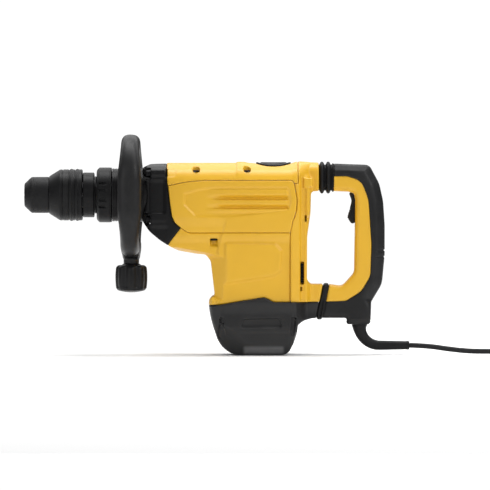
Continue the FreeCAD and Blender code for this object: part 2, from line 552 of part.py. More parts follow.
def make_rear_handle():
    yellow = side_prism(OPENING + [ARM_END] + COLOUR_EDGE, -HANDLE_HALF, HANDLE_HALF)
    hollow = box(178, 196, -15.8, 15.8, 60, 96).fuse(rod_y(-15.8, 15.8, 9.5, *PIVOT))
    hollow = hollow.fuse(box(160, 180, -15.8, 15.8, 66.0, 86.0))
    black = side_prism([ARM_END] + COLOUR_EDGE + OUTER, -HANDLE_HALF - 1.0, HANDLE_HALF + 1.0)
    section = plan_prism([(150, -22, 1), (252, -22, 12), (266, -8, 8), (266, 8, 8), (252, 22, 12), (150, 22, 1)],
                         30, 290)
    trigger_room = box(205, 236, -SLOT_HALF, SLOT_HALF, 184, 242)
    switch_room = box(219, 238, -12, 12, 150, 230)
    spring_room = rod_x(186, 215, 9.6, 0, 252)
    cord_way = rod_z(40, 92, 5.0, 224.5)
    for room in (hollow, trigger_room, switch_room, spring_room, cord_way):
        yellow = yellow.cut(room)
        black = black.cut(room)
    black = black.common(section).cut(yellow)
    keep("grip_overmould", black.removeSplitter())
    lugs = []
    for side in (-1, 1):
        y0, y1 = sorted((side * 8.2, side * 15.8))
        lug = rod_y(y0, y1, 9.2, *PIVOT).fuse(box(PIVOT[0], 196.0, y0, y1, 69, 83))
        lug = lug.fuse(box(195.0, 198.0, y0, y1, 78.0, 83))
        lugs.append(lug.cut(rod_y(-20, 20, PIN_R + 3 * PIN_FIT, *PIVOT)))
    keep("rear_handle_left", yellow.common(box(150, 300, -70, 0, 0, 300)).fuse(lugs[0]).removeSplitter())
    right = yellow.common(box(150, 300, 0, 70, 0, 300)).fuse(lugs[1]).removeSplitter()
    heads = []
    for x, z in HANDLE_SCREWS:
        right = right.cut(rod_y(17.6, 30, 3.6, x, z))
        heads.append(rod_y(17.6, 19.4, 3.4, x, z).cut(rod_y(18.6, 20, 1.9, x, z)))
    keep("rear_handle_right", right)
    keep("handle_screws", Part.makeCompound(heads))
    keep("switch", box(224.5, 237.0, -11.0, 11.0, 152, 190))
    keep("upper_bellows", front_prism(body_section(21.0, 278.0, 235.5, 12), 165.6, 186.9).cut(
        box(160, 190, -16, 16, 241, 272)))
    boot = side_prism([(171.2, 103.2), (180.4, 103.2), (170.0, 52.4), (162.2, 52.4)], -23.0, 23.0)
    boot = boot.cut(box(150, 190, -17, 17, 58, 97))
    keep("lower_boot", boot)
    coil = [Part.makeTorus(7.5, 1.1, V(188.0 + 4.2 * i, 0, 252.0), V(1, 0, 0)) for i in range(6)]
    keep("damper_spring", Part.makeCompound(coil))


TRIGGER_PIN = (223.0, 234.0)


def make_trigger():
    blade = side_prism([(208.6, 235.5, 2), (213.4, 223.0, 8), (210.4, 211.0, 12), (206.4, 200.0, 3),
                        (213.0, 189.8, 4), (219.5, 195.0, 2), (221.5, 214.0, 5), (225.5, 230.0),
                        (225.5, 237.0, 2), (219.0, 237.5, 2)], -10.0, 10.0)
    blade = blade.cut(rod_y(-12, 12, 2.05, *TRIGGER_PIN))
    keep("trigger", blade)
    keep("trigger_pin", rod_y(-SLOT_HALF, SLOT_HALF, 2.0, *TRIGGER_PIN))


# ---- cord ---------------------------------------------------------------------------------------------
CORD_R = CORD_D / 2
EXIT_X, EXIT_Z = 297.0, 13.5
COIL_X, COIL_Y = 494.0, 57.6
COIL_IN, COIL_OUT = 25.0, 62.0
COIL_Z0, COIL_Z1 = 1.6, 32.4
ROUTE = [(297.0, 0.0, 13.5), (324.0, 0.0, 12.6), (352.0, 1.6, 8.2), (381.0, 1.2, 5.0), (411.0, -1.6, 4.6),
         (440.0, -0.6, 5.2), (469.0, 0.6, 5.4)]


def cord_path(points):
    """Straight runs joined by tangent arcs. Each arc takes 0.45 of the shorter run beside it."""
    points = [V(*p) for p in points]
    edges = []
    start = points[0]
    for i in range(1, len(points) - 1):
        back = points[i - 1] - points[i]
        ahead = points[i + 1] - points[i]
        reach = 0.45 * min(back.Length, ahead.Length)
        turn = math.pi - back.getAngle(ahead)
        radius = reach / math.tan(turn / 2)
        back.normalize()
        ahead.normalize()
        first = points[i] + back * reach
        last = points[i] + ahead * reach
        inward = back + ahead
        inward.normalize()
        middle = points[i] + inward * (radius / math.cos(turn / 2) - radius)
        edges.append(Part.LineSegment(start, first).toShape())
        edges.append(Part.Arc(first, middle, last).toShape())
        print("cord arc %d: turn %.1f deg, radius %.0f mm" % (i, math.degrees(turn), radius))
        start = last
    edges.append(Part.LineSegment(start, points[-1]).toShape())
    return Part.Wire(edges)


def tube_along(path, radius, start, direction):
    circle = Part.Wire(Part.Circle(start, direction, radius).toShape())
    return path.makePipeShell([circle], True, False)


def make_cord():
    bend = 29.0
    down = V(224.5, 0, 43.9)
    low = V(224.5, 0, EXIT_Z + bend)
    middle = V(224.5 + bend * (1 - math.cos(math.pi / 4)), 0, EXIT_Z + bend * (1 - math.sin(math.pi / 4)))
    level = V(224.5 + bend, 0, EXIT_Z)
    path = Part.Wire([Part.LineSegment(down, low).toShape(), Part.Arc(low, middle, level).toShape()])
    guard = tube_along(path, 9.0, down, V(0, 0, -1))
    sleeve = Part.makeCone(9.0, 5.8, EXIT_X - level.x, level, V(1, 0, 0))
    keep("strain_relief", guard.fuse(sleeve).removeSplitter())
    path = cord_path(ROUTE)
    run = tube_along(path, CORD_R, V(*ROUTE[0]), V(*ROUTE[1]) - V(*ROUTE[0]))
    print("cord tube: volume %.0f mm3, section x length %.0f mm3"
          % (run.Volume, math.pi * CORD_R ** 2 * path.Length))
    keep("cord_run", run)
    coil = ring_z(COIL_Z0, COIL_Z1, COIL_OUT, COIL_IN, COIL_X, COIL_Y)
    keep("cord_coil", coil)
    tie = box(COIL_X - 6, COIL_X + 6, COIL_Y + COIL_IN - 3.0, COIL_Y + COIL_OUT + 2.2, 0.0, COIL_Z1 + 1.6)
    tie = tie.cut(box(COIL_X - 7, COIL_X + 7, COIL_Y + COIL_IN - 1.4, COIL_Y + COIL_OUT + 0.6, 1.5,
                      COIL_Z1 + 0.1))
    keep("cord_tie", tie)
    plug_z = COIL_Z1 + 0.1
    plug_y = COIL_Y - 44.0
    body = plan_prism([(COIL_X - 20, plug_y - 9, 4), (COIL_X + 18, plug_y - 13, 5),
                       (COIL_X + 18, plug_y + 13, 5), (COIL_X - 20, plug_y + 9, 4)], plug_z, plug_z + 15)
    pins = [rod_x(COIL_X + 18, COIL_X + 36, 2.2, plug_y + dy, plug_z + 7.5) for dy in (-8.5, 8.5)]
    keep("plug", Part.makeCompound([body] + pins))


for maker in (make_chuck, make_sleeve, make_index_collar, make_barrel, make_nose, make_top_cover,
              make_side_panels, make_motor_housing, make_base, make_rear_frame, make_drive, make_motor,
              make_hand_loop, make_knob, make_rear_handle, make_trigger, make_cord):
    maker()

os.makedirs("parts", exist_ok=True)
for name, shape in parts.items():
    solids = shape.Solids
    state = "" if shape.isValid() else "  NOT VALID"
    print("%-22s %2d solids %9.0f mm3%s" % (name, len(solids), sum(s.Volume for s in solids), state))
    shape.exportStep("parts/%s.step" % name)
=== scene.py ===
import json
import math

import bmesh
import bpy
import numpy as np
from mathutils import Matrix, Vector


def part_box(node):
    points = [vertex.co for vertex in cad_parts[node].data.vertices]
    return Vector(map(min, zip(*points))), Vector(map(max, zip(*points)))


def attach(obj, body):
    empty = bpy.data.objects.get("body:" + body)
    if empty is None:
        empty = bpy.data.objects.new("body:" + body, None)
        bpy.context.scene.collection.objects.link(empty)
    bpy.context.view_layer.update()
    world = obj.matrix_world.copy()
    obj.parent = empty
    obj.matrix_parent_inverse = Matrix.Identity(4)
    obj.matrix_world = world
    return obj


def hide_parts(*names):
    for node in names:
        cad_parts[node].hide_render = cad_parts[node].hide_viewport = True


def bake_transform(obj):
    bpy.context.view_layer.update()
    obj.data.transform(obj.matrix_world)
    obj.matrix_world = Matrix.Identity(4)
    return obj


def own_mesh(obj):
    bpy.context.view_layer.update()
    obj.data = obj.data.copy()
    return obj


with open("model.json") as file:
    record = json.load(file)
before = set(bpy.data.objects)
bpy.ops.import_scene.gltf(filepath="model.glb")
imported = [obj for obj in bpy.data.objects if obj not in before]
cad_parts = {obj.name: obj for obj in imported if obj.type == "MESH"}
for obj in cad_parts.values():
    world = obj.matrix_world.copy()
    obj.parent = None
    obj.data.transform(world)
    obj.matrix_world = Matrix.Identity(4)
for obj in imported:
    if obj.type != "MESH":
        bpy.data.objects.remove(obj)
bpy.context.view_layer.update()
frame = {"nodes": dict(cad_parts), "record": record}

# Demolition hammer. Most shapes are worked out in millimetres as distance fields (negative inside) and
# turned into meshes in metres. A piece called NODE_form stands for the CAD node of that name.

MM = 0.001
MEDIUM, FINE, FINER = 1.1, 0.8, 0.6      # sampling steps of the fields


def box_mm(node):
    """Corners of a CAD node's box, in millimetres."""
    low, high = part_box(node)
    return np.array(low) / MM, np.array(high) / MM


def middle_mm(node):
    low, high = box_mm(node)
    return (low + high) / 2


AXIS = middle_mm("barrel")[2]
BODY_HALF = box_mm("top_cover")[1][1]
BASE_HALF = box_mm("base_cap")[1][1]
HANDLE_HALF = box_mm("rear_handle_right")[1][1]
TOP = box_mm("top_cover")[1][2] - 2.4
LOOP_LOW, LOOP_HIGH = box_mm("side_handle_loop")
KNOB_LOW, KNOB_HIGH = box_mm("clamp_knob")
CAP_MIDDLE = middle_mm("crankcase_cap")
CAP_R = (box_mm("crankcase_cap")[1][0] - box_mm("crankcase_cap")[0][0]) / 2


# ---- distance fields ----
def rectangle(left, right, bottom, top, radius):
    return [(left, bottom, radius), (right, bottom, radius), (right, top, radius), (left, top, radius)]


def rounded(points, spread=14.0):
    """Outline points with each (x, y, radius) corner spread into an arc, one point per spread degrees."""
    result = []
    for i, point in enumerate(points):
        if len(point) < 3:
            result.append(point)
            continue
        x, y, radius = point
        before, after = points[i - 1], points[(i + 1) % len(points)]
        a = np.array([before[0] - x, before[1] - y])
        b = np.array([after[0] - x, after[1] - y])
        a, b = a / np.linalg.norm(a), b / np.linalg.norm(b)
        half = math.acos(max(-1.0, min(1.0, float(a @ b)))) / 2
        bisector = (a + b) / np.linalg.norm(a + b)
        centre = np.array([x, y]) + bisector * radius / math.sin(half)
        first = np.array([x, y]) + a * radius / math.tan(half) - centre
        last = np.array([x, y]) + b * radius / math.tan(half) - centre
        start = math.atan2(first[1], first[0])
        turn = math.atan2(first[0] * last[1] - first[1] * last[0], float(first @ last))
        steps = max(2, int(abs(math.degrees(turn)) / spread) + 1)
        for k in range(steps + 1):
            angle = start + turn * k / steps
            result.append((centre[0] + radius * math.cos(angle), centre[1] + radius * math.sin(angle)))
    return result


def poly(u, v, points):
    """Signed distance to a closed outline."""
    points = rounded(points)
    u, v = np.broadcast_arrays(u, v)
    best = np.full(u.shape, 1e9)
    inside = np.zeros(u.shape, bool)
    for (ax, ay), (bx, by) in zip(points, points[1:] + points[:1]):
        ex, ey = bx - ax, by - ay
        length = ex * ex + ey * ey
        if length < 1e-9:
            continue
        wx, wy = u - ax, v - ay
        t = np.clip((wx * ex + wy * ey) / length, 0, 1)
        best = np.minimum(best, (wx - ex * t) ** 2 + (wy - ey * t) ** 2)
        if ay != by:
            inside ^= ((ay > v) != (by > v)) & (u < ex * (v - ay) / ey + ax)
    return np.where(inside, -1, 1) * np.sqrt(best)


def meet(a, b, r=0.8):
    """What is inside both, with the edge rounded."""
    return np.minimum(np.maximum(a, b), -r) + np.hypot(np.maximum(a + r, 0), np.maximum(b + r, 0))


def join(a, b, r=0.8):
    """What is inside either, with a fillet between."""
    return np.maximum(np.minimum(a, b), r) - np.hypot(np.maximum(r - a, 0), np.maximum(r - b, 0))


def carve(a, b, r=0.8):
    return meet(a, -b, r)


def ease(value, low, high):
    t = np.clip((value - low) / (high - low), 0, 1)
    return t * t * (3 - 2 * t)


def surface_net(field, origin, step):
    """Vertices and quads of the field's zero surface."""
    nx, ny, nz = (n - 1 for n in field.shape)
    corners = [(i, j, k) for i in (0, 1) for j in (0, 1) for k in (0, 1)]
    inside = field < 0
    count = sum(inside[i:nx + i, j:ny + j, k:nz + k].astype(np.int8) for i, j, k in corners)
    cells = np.argwhere((count > 0) & (count < 8))
    values = np.stack([field[cells[:, 0] + i, cells[:, 1] + j, cells[:, 2] + k] for i, j, k in corners], 1)
    total = np.zeros((len(cells), 3))
    hits = np.zeros(len(cells))
    for a in range(8):
        for b in range(a + 1, 8):
            pa, pb = np.array(corners[a]), np.array(corners[b])
            if np.abs(pa - pb).sum() != 1:
                continue
            va, vb = values[:, a], values[:, b]
            cross = (va < 0) != (vb < 0)
            t = np.where(cross, va / np.where(cross, va - vb, 1), 0)
            total += np.where(cross[:, None], pa + t[:, None] * (pb - pa), 0)
            hits += cross
    points = origin + (cells + total / hits[:, None]) * step
    index = np.full((nx, ny, nz), -1, np.int32)
    index[tuple(cells.T)] = np.arange(len(cells))
    quads = []
    for axis in range(3):
        u, v = (axis + 1) % 3, (axis + 2) % 3
        ahead = [slice(None)] * 3
        ahead[axis] = slice(1, None)
        behind = [slice(None)] * 3
        behind[axis] = slice(None, -1)
        flips = inside[tuple(behind)] != inside[tuple(ahead)]
        at = np.argwhere(flips)
        at = at[(at[:, u] > 0) & (at[:, v] > 0) & (at[:, u] < index.shape[u]) & (at[:, v] < index.shape[v])]
        ring = []
        for du, dv in ((-1, -1), (0, -1), (0, 0), (-1, 0)):
            cell = at.copy()
            cell[:, u] += du
            cell[:, v] += dv
            ring.append(index[tuple(cell.T)])
        ring = np.stack(ring, 1)
        outward = inside[tuple(at.T)]
        ring[~outward] = ring[~outward][:, ::-1]
        quads.append(ring[(ring >= 0).all(1)])
    return points, np.concatenate(quads)


def new_object(name, points, faces, material):
    """Mesh object from points in metres."""
    mesh = bpy.data.meshes.new(name)
    points = np.asarray(points, float)
    faces = np.asarray(faces, np.int32)
    mesh.vertices.add(len(points))
    mesh.vertices.foreach_set("co", points.ravel())
    mesh.loops.add(faces.size)
    mesh.loops.foreach_set("vertex_index", faces.ravel())
    mesh.polygons.add(len(faces))
    mesh.polygons.foreach_set("loop_start", np.arange(0, faces.size, faces.shape[1]))
    mesh.update(calc_edges=True)
    mesh.validate()
    mesh.polygons.foreach_set("use_smooth", [True] * len(mesh.polygons))
    obj = bpy.data.objects.new(name, mesh)
    bpy.context.scene.collection.objects.link(obj)
    mesh.materials.append(material)
    return obj


def solid(name, material, low, high, step, shape):
    """Mesh of shape(x, y, z) sampled between the corners low and high."""
    low, high = np.asarray(low, float), np.asarray(high, float)
    axes = [np.arange(low[i] - 2 * step, high[i] + 2.5 * step, step) for i in range(3)]
    x, y, z = np.meshgrid(*axes, indexing="ij", sparse=True)
    field = np.broadcast_to(shape(x, y, z), tuple(len(a) for a in axes))
    points, quads = surface_net(np.ascontiguousarray(field), np.array([a[0] for a in axes]), step)
    return new_object(name, points * MM, quads, material)


def solid_for(node, material, step, shape, body, slot):
    """A field solid that takes the place of a CAD node, within its box."""
    obj = solid(node + "_form", material, *box_mm(node), step, shape)
    return place(obj, body, slot, node)


def place(obj, body, slot, *nodes):
    """Rides on the body, and stands for the nodes. The slot is not used."""
    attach(obj, body)
    if nodes:
        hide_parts(*nodes)
    return obj


# ---- camera ----
CAMERA_DISTANCE = 8.0
CAMERA_TILT = math.radians(1.0)      # above level
VIEW_WIDTH = 0.7105                  # metres across the frame at the tool's plane of symmetry
VIEW_CENTRE = Vector((0.0585, 0.0, 0.1589))
SENSOR = 36.0


def make_camera():
    data = bpy.data.cameras.new("camera")
    data.sensor_width = SENSOR
    data.lens = SENSOR * CAMERA_DISTANCE / VIEW_WIDTH
    camera = bpy.data.objects.new("camera", data)
    bpy.context.scene.collection.objects.link(camera)
    back = Vector((0, -math.cos(CAMERA_TILT), math.sin(CAMERA_TILT)))
    camera.location = VIEW_CENTRE + back * CAMERA_DISTANCE
    camera.rotation_mode = "QUATERNION"
    camera.rotation_quaternion = (-back).to_track_quat("-Z", "Y")
    bpy.context.scene.camera = camera
    bpy.context.scene.view_settings.view_transform = "Standard"


make_camera()


# ---- materials ----
class Shader:
    """A node material with a few shorthands."""

    def __init__(self, name, colour, roughness, metallic=0.0, specular=0.5):
        self.material = bpy.data.materials.new(name)
        self.material.use_nodes = True
        self.tree = self.material.node_tree
        self.surface = self.tree.nodes["Principled BSDF"]
        self.set("Base Color", colour)
        self.set("Roughness", roughness)
        self.set("Metallic", metallic)
        self.set("Specular IOR Level", specular)
        self.place = self.add("TexCoord", "Object", {})

    def feed(self, socket, value):
        """Gives a socket another node's output, or a plain number, vector or colour."""
        if isinstance(value, bpy.types.NodeSocket):
            self.tree.links.new(value, socket)
        else:
            socket.default_value = (*value, 1) if socket.type == "RGBA" else value

    def set(self, name, value):
        self.feed(self.surface.inputs[name], value)

    def add(self, kind, output, inputs, **settings):
        """Output of a new node with these inputs and settings."""
        node = self.tree.nodes.new("ShaderNode" + kind)
        for name, value in settings.items():
            setattr(node, name, value)
        for key, value in inputs.items():
            self.feed(node.inputs[key], value)
        return node.outputs[output]

    def noise(self, scale, detail=4.0, roughness=0.5, stretch=None):
        place = self.place
        if stretch:
            place = self.add("Mapping", "Vector", {"Vector": place, "Scale": stretch})
        return self.add("TexNoise", "Fac",
                        {"Vector": place, "Scale": scale, "Detail": detail, "Roughness": roughness})

    def cells(self, scale):
        return self.add("TexVoronoi", "Distance", {"Vector": self.place, "Scale": scale})

    def ramp(self, value, low, high, out_low=0.0, out_high=1.0, **settings):
        return self.add("MapRange", "Result", {"Value": value, "From Min": low, "From Max": high,
                                               "To Min": out_low, "To Max": out_high}, **settings)

    def times(self, a, b):
        return self.add("Math", 0, {0: a, 1: b}, operation="MULTIPLY")

    def plus(self, a, b):
        return self.add("Math", 0, {0: a, 1: b}, operation="ADD")

    def blend(self, factor, a, b):
        """Colour that goes from a to b."""
        return self.add("Mix", 2, {0: factor, 6: a, 7: b}, data_type="RGBA")

    def bump(self, height, strength, distance, before=None):
        inputs = {"Height": height, "Strength": strength, "Distance": distance}
        if before:
            inputs["Normal"] = before
        return self.add("Bump", "Normal", inputs)

    def edges(self, low, high):
        """1 on worn convex edges, 0 elsewhere."""
        return self.ramp(self.add("NewGeometry", "Pointiness", {}), low, high)

    def within(self, low, high, soft=0.006):
        """1 between two corners of the side view, in metres, with soft ends."""
        axes = self.add("SeparateXYZ", 0, {0: self.place}).node
        share = None
        for axis, start, end in zip((0, 2), low, high):
            for edge, inner in ((start, start + soft), (end, end - soft)):
                part = self.ramp(axes.outputs[axis], edge, inner, interpolation_type="SMOOTHSTEP")
                share = self.times(share, part) if share else part
        return share


def moulded(name, colour, shade, roughness, wear, grain=2600.0, depth=0.00012, specular=0.5, painted_highlight=None):
    """Injection-moulded plastic: fine spark-eroded grain, faint flow mottling, scuffs and rubbed edges.
    The last argument, when given, is (low corner, high corner, colour) of a stretch painted lighter as a
    painted highlight."""
    look = Shader(name, colour, roughness, specular=specular)
    mottling = look.noise(14.0, 3.0, 0.6)
    tone = look.blend(look.ramp(mottling, 0.35, 0.7), colour, shade)
    dust = look.ramp(look.noise(60.0, 6.0, 0.7), 0.55, 0.8)
    tone = look.blend(look.times(dust, 0.18), tone, tuple(min(1.0, c * 1.12 + 0.012) for c in colour))
    rubbed = look.times(look.edges(0.53, 0.60), look.ramp(look.noise(90.0, 5.0, 0.65), 0.42, 0.62))
    tone = look.blend(look.times(rubbed, 0.55), tone, wear)
    # Painted highlight: a stretch of the side view is painted a lighter colour, standing in for light
    # glancing off the surface.
    if painted_highlight:
        tone = look.blend(look.within(*painted_highlight[:2]), tone, painted_highlight[2])
    look.set("Base Color", tone)
    scuff = look.ramp(look.noise(220.0, 3.0, 0.5, stretch=(0.25, 1.0, 2.2)), 0.62, 0.74)
    rough = look.ramp(mottling, 0.3, 0.7, roughness - 0.05, roughness + 0.05)
    look.set("Roughness", look.plus(rough, look.times(scuff, 0.10)))
    skin = look.bump(look.noise(grain, 2.0, 0.5), 0.30, depth)
    look.set("Normal", look.bump(mottling, 0.10, 0.0006, before=skin))
    return look.material


def rubber(name, colour, roughness=0.62, grain=1500.0, specular=0.15):
    """Rubber with a fine cell grain and a chalky bloom."""
    look = Shader(name, colour, roughness, specular=specular)
    chalk = look.ramp(look.noise(35.0, 6.0, 0.65), 0.45, 0.75)
    look.set("Base Color", look.blend(look.times(chalk, 0.5), colour, tuple(c * 1.7 + 0.006 for c in colour)))
    look.set("Roughness", look.ramp(look.noise(25.0, 4.0, 0.6), 0.3, 0.7, roughness - 0.08, roughness + 0.08))
    look.set("Normal", look.bump(look.cells(grain), 0.35, 0.00010))
    return look.material


def metal(name, colour, roughness, stretch=(1.0, 1.0, 1.0), brushed=0.00004):
    """Metal with faint stains, and brushed where the noise is stretched."""
    look = Shader(name, colour, roughness, metallic=1.0)
    stain = look.ramp(look.noise(45.0, 5.0, 0.6), 0.4, 0.75)
    look.set("Base Color", look.blend(look.times(stain, 0.5), colour, tuple(c * 0.55 for c in colour)))
    patches = look.noise(120.0, 4.0, 0.6, stretch=stretch)
    look.set("Roughness", look.ramp(patches, 0.3, 0.7, roughness - 0.08, roughness + 0.1))
    look.set("Normal", look.bump(look.noise(900.0, 3.0, 0.6, stretch=stretch), 0.4, brushed))
    return look.material


YELLOW_SHELL = moulded("yellow_shell", (0.74, 0.418, 0.020), (0.70, 0.390, 0.017), 0.38,
                       wear=(0.82, 0.56, 0.14))
BLACK_PLASTIC = moulded("black_plastic", (0.008, 0.008, 0.0085), (0.011, 0.011, 0.0115), 0.36,
                        wear=(0.03, 0.03, 0.032), specular=0.18)
# The base's lower bevel gets a painted highlight: a lighter grey stretch along its bottom, X 54 to 117 mm, Z
# 0 to 16 mm.
BASE_PLASTIC = moulded("base_plastic", (0.018, 0.018, 0.0185), (0.023, 0.023, 0.0235), 0.32,
                       wear=(0.05, 0.05, 0.052), specular=0.24,
                       painted_highlight=((0.054, 0.0), (0.117, 0.016), (0.115, 0.115, 0.117)))
BLACK_GRIP = rubber("black_grip", (0.0085, 0.0085, 0.009), 0.42, specular=0.26)
BLACK_RUBBER = rubber("black_rubber", (0.009, 0.009, 0.0095), 0.50)
CORD_RUBBER = rubber("cord_rubber", (0.013, 0.013, 0.014), 0.46, grain=900.0)
SLEEVE_PLASTIC = moulded("sleeve_plastic", (0.008, 0.008, 0.0085), (0.010, 0.010, 0.0105), 0.40,
                         wear=(0.03, 0.03, 0.03), specular=0.13)
DARK_STEEL = metal("dark_steel", (0.10, 0.10, 0.105), 0.38)
BLACK_STEEL = metal("black_steel", (0.022, 0.022, 0.023), 0.5)
BRIGHT_STEEL = metal("bright_steel", (0.55, 0.55, 0.56), 0.28, stretch=(1.0, 0.1, 0.1))
CAST_ALUMINIUM = metal("cast_aluminium", (0.60, 0.60, 0.61), 0.5, brushed=0.0001)
BLACK_CASTING = moulded("black_casting", (0.0065, 0.0065, 0.007), (0.009, 0.009, 0.0095), 0.34, grain=1200.0,
                        depth=0.0002, wear=(0.04, 0.04, 0.04), specular=0.18)
BRONZE = metal("bronze", (0.50, 0.32, 0.13), 0.4)
COPPER = metal("copper", (0.70, 0.33, 0.18), 0.3)
CARBON = rubber("carbon", (0.03, 0.03, 0.03), 0.6)
SLOT_MATERIALS = {
    "shell_yellow": YELLOW_SHELL, "plastic_black": BLACK_PLASTIC, "grip_black": BLACK_GRIP,
    "rubber_black": BLACK_RUBBER, "cord_rubber": CORD_RUBBER, "steel_dark": DARK_STEEL,
    "steel_bright": BRIGHT_STEEL, "alu_black": BLACK_CASTING, "alu_plain": CAST_ALUMINIUM,
    "bronze": BRONZE, "copper": COPPER, "carbon": CARBON,
}


def dress_cad_nodes():
    """Every CAD node gets the finish of its record slot. Most outer ones are then replaced."""
    for row in frame["record"]["subparts"]:
        node = frame["nodes"][row["node"]]
        finish = SLOT_MATERIALS[row["material_slot"]]
        for slot in node.material_slots:
            slot.material = finish
        if not node.material_slots:
            node.data.materials.append(finish)


dress_cad_nodes()


# ---- cord ----
CORD_DIAMETER = 7.5
EXIT = (297.0, 0.0, 13.5)
ROUTE = [EXIT, (324.0, 0.0, 12.6), (352.0, 1.6, 8.2), (381.0, 1.2, 5.0), (411.0, -1.6, 4.6),
         (440.0, -0.6, 5.2), (469.0, 0.6, 5.4)]
COIL_MIDDLE = (494.0, 57.6)
COIL_RADII = (57.6, 50.1, 42.6, 35.1)
COIL_HEIGHTS = (5.35, 12.85, 20.35, 27.85)
COIL_TURN_POINTS = 15
PLUG_Z = 40.0
PLUG_Y = 13.6


def coil_points():
    """Sixteen turns, wound inward and outward by turns, layer on layer. The last one climbs to the plug."""
    turns = []
    for layer, height in enumerate(COIL_HEIGHTS):
        order = COIL_RADII if layer % 2 == 0 else COIL_RADII[::-1]
        turns += [(radius, height) for radius in order]
    pull = math.cos(math.pi / COIL_TURN_POINTS)       # the spline runs inside its control points
    result = []
    last = len(turns) * COIL_TURN_POINTS - 3          # the tail leaves here
    for i in range(1, last):
        turn, part = divmod(i, COIL_TURN_POINTS)
        radius, height = turns[turn]
        if turn + 1 < len(turns):
            change = float(ease(part / COIL_TURN_POINTS, 0.72, 1.0))
            radius += (turns[turn + 1][0] - radius) * change
            height += (turns[turn + 1][1] - height) * change
        angle = -math.pi / 2 + 2 * math.pi * i / COIL_TURN_POINTS
        result.append((COIL_MIDDLE[0] + radius / pull * math.cos(angle),
                       COIL_MIDDLE[1] + radius / pull * math.sin(angle), height))
    return result


TAIL = [(438.5, 44.0, 29.6), (446.0, 27.5, 35.6), (457.5, 16.5, 39.4), (468.0, PLUG_Y, PLUG_Z),
        (480.0, PLUG_Y, PLUG_Z)]


def make_cord():
    curve = bpy.data.curves.new("cord", "CURVE")
    curve.dimensions = "3D"
    spline = curve.splines.new("NURBS")
    points = ROUTE + coil_points() + TAIL
    spline.points.add(len(points) - 1)
    for control, point in zip(spline.points, points):
        control.co = (*(c * MM for c in point), 1)
    spline.order_u = 3
    spline.use_endpoint_u = True
    spline.resolution_u = 6
    curve.bevel_depth = CORD_DIAMETER / 2 * MM
    curve.bevel_resolution = 5
    curve.materials.append(CORD_RUBBER)
    cord = bpy.data.objects.new("cord", curve)
    bpy.context.scene.collection.objects.link(cord)
    return place(cord, "rear_handle", "cord_rubber", "cord_run", "cord_coil")


GUARD_TOP = (224.5, 46.2)            # where the cord guard leaves the handle's foot
GUARD_BEND = 29.0


def guard_shape(x, y, z):
    """Bend guard: a quarter turn out of the handle's foot, then a long taper with soft rings."""
    cx, cz = GUARD_TOP[0] + GUARD_BEND, EXIT[2] + GUARD_BEND
    radial = np.hypot(x - cx, z - cz)
    angle = np.arctan2(cz - z, cx - x)                   # 0 at the top of the bend, 90 degrees at its foot
    along = np.where(x > cx, GUARD_BEND * math.pi / 2 + (x - cx), GUARD_BEND * np.clip(angle, 0, math.pi / 2))
    off = np.where(x > cx, z - EXIT[2], radial - GUARD_BEND)
    off = np.where((z > cz) & (x < cx), x - GUARD_TOP[0], off)
    length = GUARD_BEND * math.pi / 2 + EXIT[0] - cx
    radius = 7.5 + 3.7 * np.exp(-along / 9.0) - 1.5 * np.clip((along - 20) / (length - 20), 0, 1)
    lip = 0.35 * np.exp(-((along - length + 2.5) / 1.5) ** 2)
    body = np.hypot(off, y) - radius - lip + 0.3 * np.exp(-((along - 44.0) / 0.9) ** 2)
    ends = np.maximum(x - EXIT[0] + 0.2, z - GUARD_TOP[1])
    return meet(body * 0.9, ends, 0.8)


# near half of the plug's outline from above: X, half width, corner
PLUG_HALF = [(474.0, 5.0, 4), (482.0, 8.5, 12), (497.0, 10.0, 20), (504.0, 12.9, 5), (511.8, 12.9, 3)]


def plug_shape(x, y, z):
    """Moulded plug with finger ribs and a parting groove."""
    outline = [(px, -half, r) for px, half, r in PLUG_HALF] + PLUG_HALF[::-1]
    body = meet(poly(x, y - PLUG_Y, outline), np.abs(z - PLUG_Z) - 4.6 - 2.7 * ease(x, 474, 492), 3.2)
    for i in range(4):
        body = carve(body, np.maximum(np.abs(x - 485.0 - 4.4 * i) - 0.8, 5.9 - np.abs(z - PLUG_Z)), 0.5)
    return carve(body, np.maximum(np.abs(x - 507.5) - 0.4, 10.5 - np.abs(y - PLUG_Y)), 0.3)


def pin_shape(x, y, z):
    """Two round pins."""
    side = np.abs(y - PLUG_Y) - 8.5
    pin = np.hypot(side, z - PLUG_Z) - 2.2
    return meet(pin, np.maximum(x - 529.8, 508.0 - x), 1.0)


def tie_shape(x, y, z):
    """Hook-and-loop strap round the coil, with its free end lapped over."""
    y0, y1 = COIL_MIDDLE[1] + 22.2, COIL_MIDDLE[1] + 64.0
    outer = poly(y, z, rectangle(y0, y1, 0.1, 33.8, 5))
    band = meet(np.abs(outer + 0.8) - 0.75, np.abs(x - COIL_MIDDLE[0]) - 5.8, 0.4)
    lap = np.maximum(np.abs(outer + 0.35) - 0.3, np.abs(x - COIL_MIDDLE[0]) - 4.6)
    lap = np.maximum(lap, np.maximum(y0 + 12 - y, 20 - z))
    return np.minimum(band, lap)


def make_cord_pieces():
    low, high = box_mm("strain_relief")
    guard = solid("strain_relief_form", BLACK_RUBBER, low - (4.0, 4.0, 1.0), high + 4.0, FINE, guard_shape)
    place(guard, "rear_handle", "rubber_black", "strain_relief")
    low, high = box_mm("plug")
    body = solid("plug_body", BLACK_RUBBER, (474, low[1], low[2]), (512, high[1], high[2]), FINE, plug_shape)
    place(body, "rear_handle", "cord_rubber", "plug")
    pins = solid("plug_pins", BRIGHT_STEEL, (508, PLUG_Y - 11, PLUG_Z - 3), (530, PLUG_Y + 11, PLUG_Z + 3),
                 FINER, pin_shape)
    place(pins, "rear_handle", "steel_bright")
    tie = solid_for("cord_tie", BLACK_PLASTIC, FINER, tie_shape, "rear_handle", "plastic_black")
    return [guard, body, pins, tie]


cord = make_cord()
make_cord_pieces()


